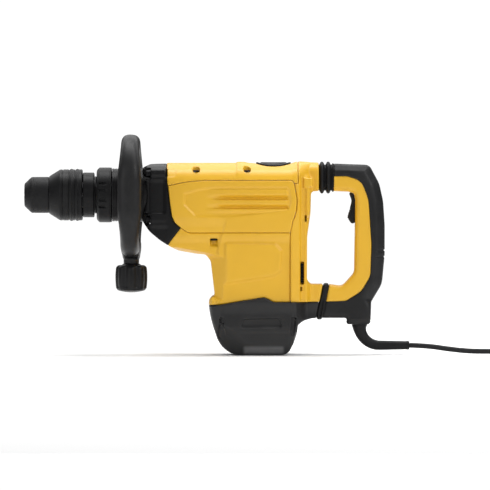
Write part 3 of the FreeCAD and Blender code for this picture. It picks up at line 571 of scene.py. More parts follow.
# ---- housing ----
TOP_CROWN = 150.0         # the top falls by y * y / TOP_CROWN away from the middle
SEAM = 0.14               # half the gap between neighbouring covers
NOSE_HALF = box_mm("nose_housing")[1][1]
FAR = 400.0
# front edge of the yellow covers against the black nose, from the top to the lower corner
NOSE_EDGE = [(-54.4, 262.0), (-52.3, 241.0), (-49.5, 219.0), (-46.8, 201.0), (-42.6, 192.0), (-34.0, 184.3)]
NOSE_CORNER = (-53.0, 159.6)
PANEL_TOP = [(-52.3, 244.9), (-28.0, 250.2, 60), (0.5, 252.6, 60), (126.7, 252.6, 3)]
PANEL_REAR = [(129.4, 248.8), (133.6, 224.6, 30), (132.2, 207.9, 30), (127.4, 194.0, 20), (123.9, 177.3)]


def side_of(y, half):
    """Inside a slab that reaches this far to each side of the plane of symmetry."""
    return np.abs(y) - half


def half_of(shape, side):
    """One moulded half, cut at the tool's plane of symmetry."""
    return lambda x, y, z: meet(shape(x, y, z), 0.1 - side * y, 0.35)


def top_line(x):
    """Height of the housing's top along X, at the plane of symmetry."""
    step = ease(x, 45.0, 47.5) - ease(x, 55.0, 66.0)
    return TOP + 1.6 * step - 0.5 * ease(x, 62, 74) + 2.6 * ease(x, 124, 136) - 1.6 * ease(x, 136, 165)


def crown(x, y, z, top):
    """Inside below a top that falls away to both sides."""
    return z - (top - y * y / TOP_CROWN)


def body_hull(x, y, z):
    """Crowned top and gently barrelled sides of the upper housing."""
    barrel = 0.0006 * (z - 215.0) ** 2
    return meet(crown(x, y, z, top_line(x)), side_of(y, BODY_HALF - barrel), 13)


def disc_x(y, z, radius, middle_y, middle_z):
    """Inside a round bar along X on each flank."""
    return np.hypot(np.abs(y) - middle_y, z - middle_z) - radius


NOSE_SCREW_Z = (262.5, 196.5)
NOSE_SCREW_Y = middle_mm("nose_screws")[1] + 37.0


def nose_shape(x, y, z):
    """Black nose, open for the neck, with its four screws in pockets and a boss behind each."""
    outline = [(-91.6, 196.2, 8), (-91.6, 266.0, 4), (-88.5, 271.6, 5), (-78.0, 276.6, 12), (-54.7, 277.6)]
    outline += NOSE_EDGE + [(-53.0, 159.3), (-64.7, 166.8, 30), (-79.2, 178.8, 40)]
    flank = 3.0 * ease(z, 203.0, 207.5) * (1 - ease(z, 249.0, 256.0)) * (1 - ease(x, -60, -54))
    flank = flank + 2.0 * (1 - ease(z, 183, 188)) * (1 - ease(x, -58, -50))
    hull = meet(crown(x, y, z, TOP - 0.6), side_of(y, NOSE_HALF - 1.2 * ease(x, -60, -92) - flank), 14)
    front = -(x + 91.6) + 0.004 * y * y
    hull = meet(hull, front, 7)
    body = meet(hull, poly(x, z, outline), 1.6)
    for middle in NOSE_SCREW_Z:
        pocket = np.maximum(disc_x(y, z, 9.8, NOSE_SCREW_Y, middle), x + 77.8)
        body = carve(body, pocket, 0.9)
        boss = meet(disc_x(y, z, 7.6, NOSE_SCREW_Y + 1.5, middle), np.maximum(-(x + 77.6), x + 56.0), 1.0)
        body = join(body, boss, 1.4)
    neck = np.hypot(y, z - AXIS) - 39.4
    body = carve(body, np.maximum(neck, x + 76), 1.2)
    return np.maximum(body, -np.maximum(hull + 5.0, -80.0 - x))


# upright housing screws: X of the head, how far it is from the plane of symmetry, height of its seat, the
# way it faces (1 up, -1 down), how far the middle of its channel is from that plane, and half the
# channel's length across the tool
TOP_SCREWS = [(-11.8, 38.5, 264.9, 1, 36.0, 8.75), (61.5, 38.5, 264.9, 1, 36.0, 8.75)]
LOW_SCREW = (13.5, 42.6, 168.8, -1, 44.0, 5.6)
CHANNEL_R = 5.25             # half length of a channel along the tool
BOSS_R = 8.0


def channel_reach(x, y, screw):
    """Distance from the middle of a screw's channel, scaled across the tool to its length there."""
    return np.hypot(x - screw[0], (np.abs(y) - screw[4]) * CHANNEL_R / screw[5])


def screw_channel(x, y, z, screw):
    """Channel from outside down to a screw head's seat, or up to it from below."""
    return meet(channel_reach(x, y, screw) - CHANNEL_R, (screw[2] - z) * screw[3], 0.4)


def top_cover_shape(x, y, z):
    """Crowned top cover with the cap's well, the screw channels, a dent and a groove."""
    trim = [NOSE_EDGE[0], (-52.9, 245.2)] + [(px, pz + 2 * SEAM, r) for px, pz, r in PANEL_TOP[1:]]
    trim += [(129.8, 249.0), (134.7, 249.0), (134.7, 300.0), (-54.7, 300.0)]
    body = meet(body_hull(x, y, z), poly(x, z, trim), 0.8)
    well = np.hypot(x - CAP_MIDDLE[0], y) - CAP_R - 0.5
    body = carve(body, np.maximum(well, TOP - 9.0 - z), 0.7)
    for screw in TOP_SCREWS:
        body = carve(body, screw_channel(x, y, z, screw), 0.5)
    dent = poly(x, z, [(-62.0, 256.5), (-42.0, 258.0, 3), (-40.0, 268.5, 3), (-62.0, 270.0)])
    body = body + 0.9 * ease(-dent, -0.8, 1.6)
    groove = np.maximum(np.abs(x - 120.0) - 0.5, 252 - z)
    body = carve(body, np.maximum(groove, BODY_HALF - 3.0 - np.abs(y)), 0.3)
    hollow = np.maximum(body_hull(x, y, z) + 4.5, z - 268.5)
    for screw in TOP_SCREWS:
        hollow = np.maximum(hollow, BOSS_R - channel_reach(x, y, screw))
    return np.maximum(body, -hollow)


def cap_shape(x, y, z):
    """Round cap set in the crowned top, with a sunk ring and a raised grip bar."""
    radius = np.hypot(x - CAP_MIDDLE[0], y)
    top = crown(x, y, z, TOP + 1.2)
    ring = 1.1 * (ease(radius, CAP_R - 7.5, CAP_R - 6.5) - ease(radius, CAP_R - 3.5, CAP_R - 2.5))
    disc = meet(top + ring, radius - CAP_R + 0.3, 1.2)
    bar = poly(x - CAP_MIDDLE[0], y, rectangle(-12, 12, -2.6, 2.6, 2.5))
    sunk = np.maximum(bar, TOP - 1.6 - z)
    return np.maximum(carve(disc, sunk, 0.5), TOP - 8.6 - z)


FIELD = [(-30.8, 235.0, 4), (-8.0, 241.0, 60), (11.5, 243.9, 30), (122.0, 243.9, 5), (126.6, 226.0, 20),
         (124.0, 209.0, 8), (96.9, 205.8, 12), (39.2, 198.9, 14), (-13.4, 199.5, 8), (-30.8, 217.0, 6)]
FIELD_DEPTH = 1.7
# height of the ribbed part over the sunk field: flat ribs, each undercut by a slope down to a sharp ledge
RIB_Z = (205.5, 208.3, 211.0, 213.2, 214.4, 218.4, 220.0, 224.0, 226.4, 227.8, 232.0, 233.6, 238.6, 241.5)
RIB_RISE = (0.0, 1.7, 1.9, -2.9, -2.9, 1.6, 2.0, 2.0, -3.1, -3.1, 1.6, 2.1, 2.1, 0.0)


def panel_relief(x, z):
    """How far the side panel's face stands out: a sunk field, and ribs in it."""
    inside = -poly(x, z, FIELD)
    ends = ease(x, -2, 34) * (1 - ease(x, 118.5, 122.0))
    rib = np.interp(np.broadcast_to(z, (1, 1) + (z.size,)), RIB_Z, RIB_RISE).reshape(z.shape)
    return rib * ends * ease(inside, 0.5, 3.5) - FIELD_DEPTH * ease(inside, -0.5, 4.0)


def panel_shape(x, y, z):
    """Side panel between the other covers, slightly barrelled, with its ribbed field."""
    outline = PANEL_TOP + PANEL_REAR + [(-23.1, 177.3, 8)] + NOSE_EDGE[:1:-1]
    swell = 0.9 * (1 - ((z - 215.0) / 42.0) ** 2)
    swell = swell - 1.6 * (1 - ease(-poly(x, z, COLUMN), -2, 3)) * (1 - ease(z, 184, 202))
    face = np.abs(y) - (BODY_HALF - 0.9 + swell + panel_relief(x, z))
    body = meet(face, poly(x, z, outline) + SEAM, 1.2)
    return np.maximum(body, 43.0 - np.abs(y))


BELLY = [NOSE_EDGE[-1], NOSE_CORNER, (-45.0, 154.4, 20), (-37.0, 151.0, 30), (-23.0, 147.6, 40),
         (-9.0, 146.2, 40), (0.0, 145.8, 7), (7.6, 138.0, 9), (10.6, 116.0, 80), (14.3, 88.5, 8),
         (6.3, 79.6, 6), (5.9, 73.2), (20.7, 73.2, 20), (53.7, 79.0, 60), (86.0, 84.2, 4), (91.5, 82.0, 4),
         (99.4, 77.2, 6), (123.8, 77.2), (123.8, 177.1), (-23.1, 177.1, 8)]


PLATE = [(26.0, 102.5, 4), (33.4, 103.0, 6), (100.6, 112.8, 7), (112.0, 121.5, 7), (113.4, 152.0, 5),
         (103.4, 163.2, 5), (28.0, 164.2, 5)]
COLUMN = [(34.0, 205.0, 12), (22.6, 170.0, 20), (18.5, 150.0, 20), (19.5, 95.0, 10), (16.0, 74.0),
          (200.0, 60.0), (200.0, 205.0)]
SINK = 5.6


def column_relief(x, z):
    """Soft raised plate on the motor column, and the column itself, proud of the belly in front of it."""
    plate = 3.2 * ease(-poly(x, z, PLATE), -0.6, 4.6)
    return np.minimum(plate + 2.4 * ease(-poly(x, z, COLUMN), -2.0, 2.5) + 3.0 * ease(z, 161, 177), SINK)


def motor_housing_shape(x, y, z):
    """Belly, the column with its raised plate, and a skirt over the base."""
    front = [(-53.4, 157.4), (-37.0, 151.0), (-9.0, 146.2, 20), (2.0, 145.4, 7), (9.0, 136.0, 9),
             (14.3, 88.0), (14.3, -FAR), (FAR, -FAR), (FAR, FAR), (-53.4, FAR)]
    half = BODY_HALF - 0.8 * ease(z, 168, 178) - 0.00022 * (x - 70) ** 2 * ease(z, 150, 100)
    hull = meet(poly(x, z, front), side_of(y, half), 12)
    bevel = (np.abs(y) - half + SINK - 2.4) * 0.84 + (27.0 - x) * 0.54
    hull = meet(hull, bevel - 80.0 * ease(z, 140, 176), 1.5)
    behind = poly(x, z, [(5.9, FAR), (5.9, -FAR), (FAR, -FAR), (FAR, FAR)])
    skirt = meet(behind, side_of(y, BODY_HALF + 0.6), 20)
    skirt = np.maximum(skirt, z - (88 - 0.55 * np.clip(x - 5.9, 0, 20)))
    hull = join(hull, skirt, 5)
    body = meet(hull, poly(x, z, BELLY), 1.0)
    body = np.maximum(body, side_of(y, half - SINK + column_relief(x, z)))
    recess = np.maximum(screw_channel(x, y, z, LOW_SCREW), 154.6 + 0.8 * (47.0 - np.abs(y)) - z)
    body = carve(body, recess, 0.5)
    hollow = np.maximum(hull + 8.0, BOSS_R - channel_reach(x, y, LOW_SCREW))
    return np.maximum(body, -hollow)


BASE = [(5.9, 72.9), (7.6, 60.0, 60), (12.3, 39.0, 60), (17.6, 24.6, 30), (24.5, 12.6, 26), (36.0, 3.2, 24),
        (49.0, 0.0, 30), (111.0, 0.0, 12), (121.5, 3.6, 10), (129.0, 18.0, 20), (133.5, 31.6, 20),
        (135.1, 44.0, 4), (143.0, 49.7, 14), (155.0, 53.2, 10), (161.0, 53.4), (165.5, 76.9), (99.4, 76.9, 6),
        (91.3, 81.7, 4), (86.0, 83.9, 4), (53.7, 78.7, 60), (20.7, 72.9, 20)]


def base_shape(x, y, z):
    """Black base with vents and a slot on each side, narrowing to an arm at the rear."""
    arm = 28.0 * ease(x, 128, 150)
    half = BASE_HALF - arm - 1.5 * ease(z, 78, 60) * ease(z, 40, 60)
    walls = meet(side_of(y, half), 5.9 + 0.24 * (71.5 - z) * ease(z, 75, 30) - x, 22)
    body = meet(walls, poly(x, z, BASE), 1.4)
    lower = meet(poly(x, z, BASE), side_of(y, half - 0.6), 11)
    body = np.maximum(body, np.where(z < 34, lower, -FAR))
    core = body
    slot = poly(x, z, [(52.6, 42.0, 3), (56.5, 39.0, 3), (113.2, 40.6, 4), (108.5, 53.9, 4), (55.0, 52.6, 3)])
    ledge = BASE_HALF - 1.5 - 2.6 * ease(z, 39.8, 44.5) - np.abs(y)
    body = carve(body, np.maximum(slot, ledge), 0.4)
    vent = poly(x, z, [(20.9, 27, 2), (26.6, 23.5, 2), (28.4, 54, 2), (21.8, 56, 2)])
    body = carve(body, np.maximum(vent, -core - 4.0), 0.8)
    louvre = np.maximum(np.abs((z + 0.25 * x) % 7.0 - 3.5) - 1.0, vent + 0.3)
    body = np.minimum(body, np.maximum(louvre, np.maximum(core + 1.6, -core - 6.0)))
    rear = poly(x, z, [(124.5, 30, 2), (129.6, 29, 2), (132.8, 55, 2), (125.5, 56, 2)])
    body = carve(body, np.maximum(rear, -walls - 5.0), 0.8)
    bevel = (np.abs(y) - half + 1.0) * 0.78 + (14.5 - z) * 0.62
    facet = (np.abs(y) - half) * 0.72 + (41.0 - x) * 0.46 + (31.6 - z) * 0.52
    body = meet(body, np.where(z < 40, bevel, -FAR), 1.6)
    body = meet(body, facet - 5.0 * ease(z, 34, 50), 5.0)
    inner = np.maximum(np.maximum(core + 9.0, facet + 6.0), bevel + 6.0)
    return np.maximum(body, -np.maximum(inner, x - 128.0))


REAR = [(135.1, 300.0), (165.2, 300.0), (165.2, 237.5, 1), (154.0, 236.5, 5), (153.2, 205.0, 80),
        (148.3, 172.0, 60), (148.0, 110.0, 8), (152.5, 102.5, 7), (171.0, 102.5), (166.0, 77.2),
        (123.93, 77.2), (123.93, 177.3), (127.7, 194.0, 20), (132.6, 207.9, 30), (134.0, 224.6, 30),
        (129.8, 248.6), (135.1, 248.6)]


# half width of the rear frame along X: a bevelled strip, the vents' groove, then a rounded rib
FRAME_X = (120.0, 127.0, 137.4, 139.2, 143.4, 145.4, 148.6, 152.5, 158.0)
FRAME_HALF = (49.6, 49.2, 45.0, 39.6, 38.2, 39.0, 37.0, 27.0, 24.0)


# slots in the frame's sides: X from and to, Z from and to, half width where each ends, edge rounding
FRAME_SLOTS = [(138.3, 143.6, 102.5, 135.5, 28.0, 0.7), (138.2, 140.4, 92.4, 99.8, 28.0, 0.4),
               (144.6, 147.4, 193.2, 203.0, 25.0, 0.4)]
LUG = [(143.2, 241.8), (155.8, 243.4), (155.8, 255.6), (143.2, 256.6)]
RIB = [(146.6, 199.0), (151.6, 202.0), (152.2, 243.0), (146.6, 243.0)]


def rear_frame_shape(x, y, z):
    """Frame behind the other covers, with slots, that carries the rear handle."""
    half = np.interp(x, FRAME_X, FRAME_HALF)
    plain = BODY_HALF - 0.5 - 24.0 * ease(x, 132.5, 153.0) - 1.5 * ease(x, 146.0, 156.0)
    half = half + (plain - half) * ease(z, 254.0, 264.0)
    hull = meet(crown(x, y, z, top_line(x)), side_of(y, half), 12)
    boss = meet(crown(x, y, z, TOP - 0.8), side_of(y, 25.0), 9)
    arm = side_of(y, 24.0)
    hull = np.minimum(hull, np.where(z > 230, boss, np.where(z < 106, np.maximum(arm, z - 106), FAR)))
    body = meet(hull, poly(x, z, REAR), 1.6)
    lug = meet(poly(x, z, LUG), side_of(y, 41.5), 1.6)
    rib = meet(poly(x, z, RIB), side_of(y, 40.8), 1.6)
    body = join(body, np.minimum(lug, rib), 1.2)
    for left, right, bottom, top, floor, edge in FRAME_SLOTS:
        slot = poly(x, z, rectangle(left, right, bottom, top, 1))
        body = carve(body, np.maximum(slot, floor - np.abs(y)), edge)
    return np.maximum(body, -np.maximum(hull + 5.0, x - 134.0))


def louvre_shape(x, y, z):
    """Dark grille behind the rear vents: slats on a plate."""
    plate = meet(np.abs(x - 141.0) - 2.2, np.abs(np.abs(y) - 31.0) - 1.0, 0.3)
    slats = meet(np.abs(x - 141.0) - 2.4, np.abs(np.abs(y) - 32.4) - 1.6, 0.3)
    slats = np.maximum(slats, np.abs((z - 106.0) % 4.2 - 2.1) - 1.1)
    return np.maximum(np.minimum(plate, slats), np.abs(z - 119.0) - 15.6)


def make_housing():
    solid_for("nose_housing", BLACK_CASTING, MEDIUM, nose_shape, "housing", "plastic_black")
    solid_for("top_cover", YELLOW_SHELL, MEDIUM, top_cover_shape, "housing", "shell_yellow")
    solid_for("crankcase_cap", BLACK_PLASTIC, FINE, cap_shape, "housing", "plastic_black")
    for node in ("side_panel_left", "side_panel_right"):
        solid_for(node, YELLOW_SHELL, FINE, panel_shape, "housing", "shell_yellow")
    for node, side in (("motor_housing_left", -1), ("motor_housing_right", 1)):
        solid_for(node, YELLOW_SHELL, MEDIUM, half_of(motor_housing_shape, side), "housing", "shell_yellow")
    solid_for("base_cap", BASE_PLASTIC, MEDIUM, base_shape, "housing", "plastic_black")
    solid_for("rear_frame", YELLOW_SHELL, MEDIUM, rear_frame_shape, "housing", "shell_yellow")
    solid_for("vent_louvres", BLACK_PLASTIC, FINER, louvre_shape, "housing", "plastic_black")


make_housing()


# ---- chuck and barrel: pieces turned about the hammer axis ----
TURN_COUNT = 160          # points round a turned ring


def round_x(x, y, z, profile):
    """Lathe-turned shape from its (x, radius) profile."""
    return poly(x, np.hypot(y, z - AXIS), profile)


def dust_cap_shape(x, y, z):
    """Cap over the chuck: a cone with two seams, a hole, and slits round the hole."""
    profile = [(-261.0, 9.7, 1), (-261.0, 16.2, 2.5), (-250.6, 26.1, 5), (-226.8, 26.1), (-225.2, 25.9, 0.6),
               (-225.4, 16.3), (-243.0, 16.3), (-246.2, 14.7), (-249.0, 12.4, 1)]
    body = round_x(x, y, z, profile) - 0.05
    radius = np.hypot(y, z - AXIS)
    for seam, depth in ((-247.2, 0.55), (-244.4, 0.25)):
        body = carve(body, np.maximum(np.abs(x - seam) - 0.35, 26.1 - depth - radius), 0.25)
    slits = np.abs(np.sin(4 * np.arctan2(z - AXIS, y))) * radius / 4 - 0.35
    return carve(body, np.maximum(slits, np.maximum(radius - 15.6, x + 259.9)), 0.25)


def woven(rows, columns, closed):
    """Quads between rows of points. Each row closes on itself, and the last meets the first if closed."""
    i, j = np.meshgrid(np.arange(rows if closed else rows - 1), np.arange(columns), indexing="ij")
    after, beside = (i + 1) % rows, (j + 1) % columns
    corners = [i * columns + j, after * columns + j, after * columns + beside, i * columns + beside]
    return np.stack(corners, axis=-1).reshape(-1, 4)


def turned(node, material, outline, body, slot):
    """Ring turned about the hammer axis from its closed (x, radius) outline, in place of a CAD node."""
    ring = rounded(outline, 10.0)
    if sum(a[0] * b[1] - b[0] * a[1] for a, b in zip(ring, ring[1:] + ring[:1])) < 0:
        ring.reverse()
    angles = np.arange(TURN_COUNT) * 2 * math.pi / TURN_COUNT
    points = [(x, r * math.cos(a), AXIS + r * math.sin(a)) for x, r in ring for a in angles]
    obj = new_object(node + "_form", np.array(points) * MM, woven(len(ring), TURN_COUNT, True), material)
    obj.data.set_sharp_from_angle(angle=math.radians(40))
    return place(obj, body, slot, node)


def with_seams(radius, seams, depth=1.0):
    """Outline points of thin grooves turned into a cylinder, from front to rear."""
    points = []
    for x in seams:
        points += [(x - 0.8, radius), (x - 0.45, radius - depth)]
        points += [(x + 0.45, radius - depth), (x + 0.8, radius)]
    return points


def swelling(x, radius, rise=0.8):
    """Outline points of a low rounded ring on a cylinder."""
    return [(x - 2.0, radius, 1.0), (x - 0.8, radius + rise, 1.2), (x + 0.8, radius + rise, 1.2),
            (x + 2.0, radius, 1.0)]


RETAINER = [(-176.1, 18.6), (-176.1, 32.5, 1.2), (-159.8, 32.5, 1.6), (-159.8, 26.9), (-157.0, 26.9, 0.4),
            (-157.0, 18.6)]
SLEEVE_R = 37.0
SLEEVE = ([(-224.9, 26.3), (-224.9, 27.2, 0.3), (-209.3, 36.9, 3)] + with_seams(SLEEVE_R, (-205.4, -196.3))
          + swelling(-192.9, SLEEVE_R) + with_seams(SLEEVE_R, (-187.6,)) + swelling(-184.3, SLEEVE_R)
          + [(-177.0, SLEEVE_R, 1.4), (-177.0, 32.9), (-200.5, 32.9), (-202.0, 26.3)])
BARREL_R = 38.55
BARREL = ([(-133.7, 32.1), (-133.7, BARREL_R, 0.8)]
          + with_seams(BARREL_R, (-131.2, -128.8, -126.4, -88.0)) + [(-62.2, BARREL_R), (-62.2, 32.1)])


# angles of the index notches above and below level, in degrees, on both flanks
COLLAR_NOTCHES = (-25.2, -10.2, 10.2, 25.2)


def collar_shape(x, y, z):
    """Index collar with notches on both flanks and a groove at its rear."""
    profile = [(-156.2, 27.7), (-156.2, 35.6, 2), (-152.4, 39.8, 2), (-134.6, 39.8, 0.8), (-134.6, 18.8),
               (-153.0, 18.8), (-153.0, 27.7)]
    radius = np.hypot(y, z - AXIS)
    body = round_x(x, y, z, profile)
    angle = np.arctan2(z - AXIS, np.abs(y))
    off = np.minimum.reduce([np.abs(angle - math.radians(a)) for a in COLLAR_NOTCHES]) * radius
    notch = poly(x, off, [(-152.6, -1.9), (-141.0, -1.9), (-141.0, 1.9, 1.4), (-152.6, 1.9, 1)])
    ramp = radius - 37.0 - 2.6 * ease(x, -146.5, -141.0)
    body = carve(body, np.maximum(notch, -ramp), 0.5)
    return carve(body, np.maximum(np.abs(x + 135.9) - 0.3, 39.3 - radius), 0.3)


SPRING_START, SPRING_END = -198.4, -177.8
SPRING_R, SPRING_WIRE, SPRING_TURNS = 28.0, 1.2, 4.5
SPRING_STEPS, SPRING_SIDES = 200, 10


def make_sleeve_spring():
    """Coil spring that the locking sleeve presses against the retainer."""
    along = np.linspace(0.0, 1.0, SPRING_STEPS)[:, None]
    around = (np.arange(SPRING_SIDES) * 2 * math.pi / SPRING_SIDES)[None, :]
    turn = 2 * math.pi * SPRING_TURNS * along
    reach = SPRING_R + SPRING_WIRE * np.cos(around)
    x = SPRING_START + (SPRING_END - SPRING_START) * along + SPRING_WIRE * np.sin(around)
    points = np.stack([x, reach * np.cos(turn), AXIS + reach * np.sin(turn)], axis=-1).reshape(-1, 3)
    faces = woven(SPRING_STEPS, SPRING_SIDES, False)
    spring = new_object("sleeve_spring_form", points * MM, faces, BRIGHT_STEEL)
    mesh = bmesh.new()
    mesh.from_mesh(spring.data)
    bmesh.ops.holes_fill(mesh, edges=mesh.edges[:])
    bmesh.ops.recalc_face_normals(mesh, faces=mesh.faces[:])
    mesh.to_mesh(spring.data)
    mesh.free()
    place(spring, "chuck", "steel_bright", "sleeve_spring")
    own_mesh(spring)


def make_front():
    solid_for("dust_cap", BLACK_RUBBER, 0.7, dust_cap_shape, "chuck", "rubber_black")
    turned("chuck_retainer", SLEEVE_PLASTIC, RETAINER, "chuck", "plastic_black")
    turned("locking_sleeve", SLEEVE_PLASTIC, SLEEVE, "locking_sleeve", "plastic_black")
    solid_for("index_collar", SLEEVE_PLASTIC, FINER, collar_shape, "index_collar", "plastic_black")
    turned("barrel", BLACK_CASTING, BARREL, "housing", "alu_black")
    make_sleeve_spring()


make_front()


# ---- loop side handle ----
LOOP_X = (LOOP_LOW[0] + LOOP_HIGH[0]) / 2
LOOP_HALF_Y = LOOP_HIGH[1]
LOOP_HALF_Z = LOOP_HIGH[2] - AXIS
LOOP_CORNER = 66.0
LOOP_BAR = 14.0              # half the bar's thickness in the loop's plane
BAND_R, NECK_R = 46.0, 38.9  # outside and inside of the clamp band
BAND_X, BAND_HALF = -107.2, 13.7
STEM_X = (KNOB_LOW[0] + KNOB_HIGH[0]) / 2
BOLT_R = 4.2
KNOB_R, KNOB_BASE, KNOB_SHOULDER, KNOB_TOP = 23.2, 90.2, 129.9, 131.75
FLUTES = 8


def loop_shape(x, y, z):
    """Rounded rectangular loop round the neck, with the web and stem that carry the clamp below it."""
    ay, az = np.abs(y) - LOOP_HALF_Y + LOOP_CORNER, np.abs(z - AXIS) - LOOP_HALF_Z + LOOP_CORNER
    ring = np.hypot(np.maximum(ay, 0), np.maximum(az, 0)) + np.minimum(np.maximum(ay, az), 0) - LOOP_CORNER
    across = np.abs(ring + LOOP_BAR) / LOOP_BAR
    height = z - AXIS
    half = 17.2 - 4.2 * ease(height, 15, 78) - 3.6 * ease(-height, 15, 66)
    along = np.abs(x - LOOP_X - 0.4 * ease(height, 30, 85)) / half
    bar = ((across ** 2.5 + along ** 2.5) ** 0.4 - 1) * LOOP_BAR
    web = meet(np.abs(y) - 13.5 - 0.1 * np.clip(180 - z, -20, 20), np.abs(x - STEM_X) - 11.0, 3.0)
    web = np.maximum(web, np.abs(z - 166.0) - 24.0)
    stem = np.hypot(x - STEM_X, y) - 11.3 - 1.2 * ease(z, 139, 150)
    stem = np.maximum(stem, np.maximum(131.9 - z, z - 160))
    body = join(join(bar, web, 6), stem, 5)
    body = np.maximum(body, BAND_R + 0.15 - np.hypot(y, z - AXIS))
    return carve(body, np.maximum(np.hypot(x - STEM_X, y) - BOLT_R, z - 190), 0.4)


def band_shape(x, y, z):
    """Clamp band round the neck with two seams, split at the top and drilled below."""
    radius = np.hypot(y, z - AXIS)
    thick = np.abs(radius - (BAND_R + NECK_R) / 2) - (BAND_R - NECK_R) / 2
    ring = meet(thick, np.abs(x - BAND_X) - BAND_HALF, 1.2)
    for seam in (BAND_X - 10.3, BAND_X + 10.3):
        ring = carve(ring, np.maximum(np.abs(x - seam) - 0.5, BAND_R - 0.8 - radius), 0.4)
    ring = carve(ring, np.maximum(np.abs(y) - 1.2, AXIS + 20 - z), 0.4)
    return np.maximum(ring, -(np.hypot(x - STEM_X, y) - BOLT_R + np.where(z > AXIS - 30, FAR, 0)))


def knob_shape(x, y, z):
    """Fluted knob under the loop's stem, drilled for the bolt."""
    radius = np.hypot(x - STEM_X, y)
    angle = np.arctan2(y, x - STEM_X)
    reach = KNOB_R - 0.0045 * (z - 112.0) ** 2
    flute = (0.5 - 0.5 * np.cos(FLUTES * angle)) ** 1.6
    flute = 2.4 * flute * ease(z, 93.5, 99) * (1 - ease(z, 125.5, 130.5))
    body = meet(radius - reach + flute, KNOB_BASE + radius ** 2 / 130.0 - z, 3.5)
    body = meet(body, z - KNOB_SHOULDER, 5.0)
    body = join(body, np.maximum(radius - 12.6, np.maximum(z - KNOB_TOP, 110.0 - z)), 2.0)
    return carve(body, np.maximum(radius - BOLT_R, 105 - z), 0.3)


def make_side_handle():
    solid_for("side_handle_loop", BLACK_GRIP, MEDIUM, loop_shape, "side_handle", "grip_black")
    solid_for("clamp_band", BLACK_PLASTIC, FINE, band_shape, "side_handle", "plastic_black")
    solid_for("clamp_knob", BLACK_PLASTIC, FINE, knob_shape, "clamp_knob", "plastic_black")


make_side_handle()


# ---- rear handle ----
OPENING = [(187.0, 237.0), (208.0, 236.3, 5), (216.0, 233.6, 4), (218.0, 225.0, 8), (217.8, 189.4, 40),
           (216.7, 119.0, 12), (199.5, 99.7, 11), (180.3, 102.3)]
# where the yellow shell meets the black overmould
COLOUR_EDGE = [(150.0, 77.0), (170.0, 77.0), (204.4, 78.2, 12), (226.5, 91.8, 24), (240.0, 114.0, 24),
               (241.6, 160.0, 80), (237.4, 224.8, 50), (227.0, 252.5, 22), (206.4, 258.8, 20),
               (187.0, 258.8), (150.0, 258.8)]
OUTER = [(187.0, 277.0), (238.5, 275.2, 10), (253.0, 248.0, 34), (258.6, 222.9, 60), (260.9, 188.0, 80),
         (260.9, 145.0, 80), (256.9, 102.5, 26), (241.2, 76.5, 6), (240.3, 44.2, 5), (205.6, 44.2, 3),
         (205.6, 53.5, 3), (170.6, 53.5)]


def foot_lean(z):
    """0 at the lower arm's underside, 1 at its top: its end and its boot lean by this."""
    return (z - 52.0) / 51.0


def arm_ends(x, z):
    """Flat end of the upper arm and the slanted end of the lower one."""
    return np.where(z > 170, 187.1 - x, 170.4 + 10.4 * foot_lean(z) - x)


OVERMOULD_HALF = 20.85
CHAMFER_SLOPE = math.radians(38)


def handle_profile(x, z, outer, inner):
    """Side outline of the rear handle, its two arms carried forward to X 150."""
    outside = [(150.0, outer[0][1])] + outer + [(150.0, outer[-1][1])]
    inside = [(150.0, inner[0][1])] + inner + [(150.0, inner[-1][1])]
    return np.maximum(poly(x, z, outside), -poly(x, z, inside))


HANDLE_SCREWS = [(196.0, 247.0), (229.0, 178.0), (229.0, 124.0), (190.0, 89.0)]       # X, Z


def shell_shape(x, y, z):
    """Yellow shell of the handle, inside the overmould, with room for trigger and switch."""
    hull = meet(handle_profile(x, z, OUTER, OPENING), np.abs(y) - HANDLE_HALF + 0.2, 7.5)
    body = meet(hull, poly(x, z, COLOUR_EDGE), 0.6)
    body = meet(body, arm_ends(x, z), 0.5)
    switch_room = poly(x, z, [(203, 184.5), (236, 184.5), (236, 242), (205, 242)])
    body = np.maximum(body, -meet(switch_room, np.abs(y) - 10.3, 0.5))
    for screw_x, screw_z in HANDLE_SCREWS:
        body = carve(body, np.maximum(np.hypot(x - screw_x, z - screw_z) - 4.0, 17.9 - y), 0.5)
    pivot_room = np.maximum(np.abs(y) - 15.8, np.maximum(np.abs(z - 78) - 12, x - 190))
    return np.maximum(body, -pivot_room)


def overmould_shape(x, y, z):
    """Black back of the handle, chamfered to a narrower spine, lapping over the shell's edge."""
    profile = handle_profile(x, z, OUTER, OPENING)
    front = [(150.0, 53.5), (150.0, 40.0), (100.0, 40.0), (100.0, 277.0), (150.0, 277.0)]
    depth = poly(x, z, OUTER + front)
    sides = np.abs(y) - OVERMOULD_HALF
    reach = 12.0 - 9.0 * ease(z, 84, 66)                 # how far the chamfer reaches in from the back
    chamfer = sides * math.cos(CHAMFER_SLOPE) + (depth + reach) * math.sin(CHAMFER_SLOPE)
    hull = meet(meet(profile, sides, 4.0), chamfer, 2.5)
    colour = poly(x, z, COLOUR_EDGE)
    inner = np.maximum(-colour, -(np.abs(y) - HANDLE_HALF + 1.6))
    body = meet(hull, np.minimum(-colour, np.maximum(inner, -(np.abs(y) - 19.5))), 0.9)
    body = meet(body, arm_ends(x, z), 0.5)
    for line in (151.2, 141.8):
        groove = np.maximum(np.abs(z - line - 0.06 * (x - 255)) - 0.8, 248.0 - x)
        body = carve(body, np.maximum(groove, -hull - 1.3), 0.3)
    collar = np.maximum(np.abs(z - 49.6) - 0.45, -hull - 0.7)
    return carve(body, np.where(x > 205.0, collar, FAR), 0.3)


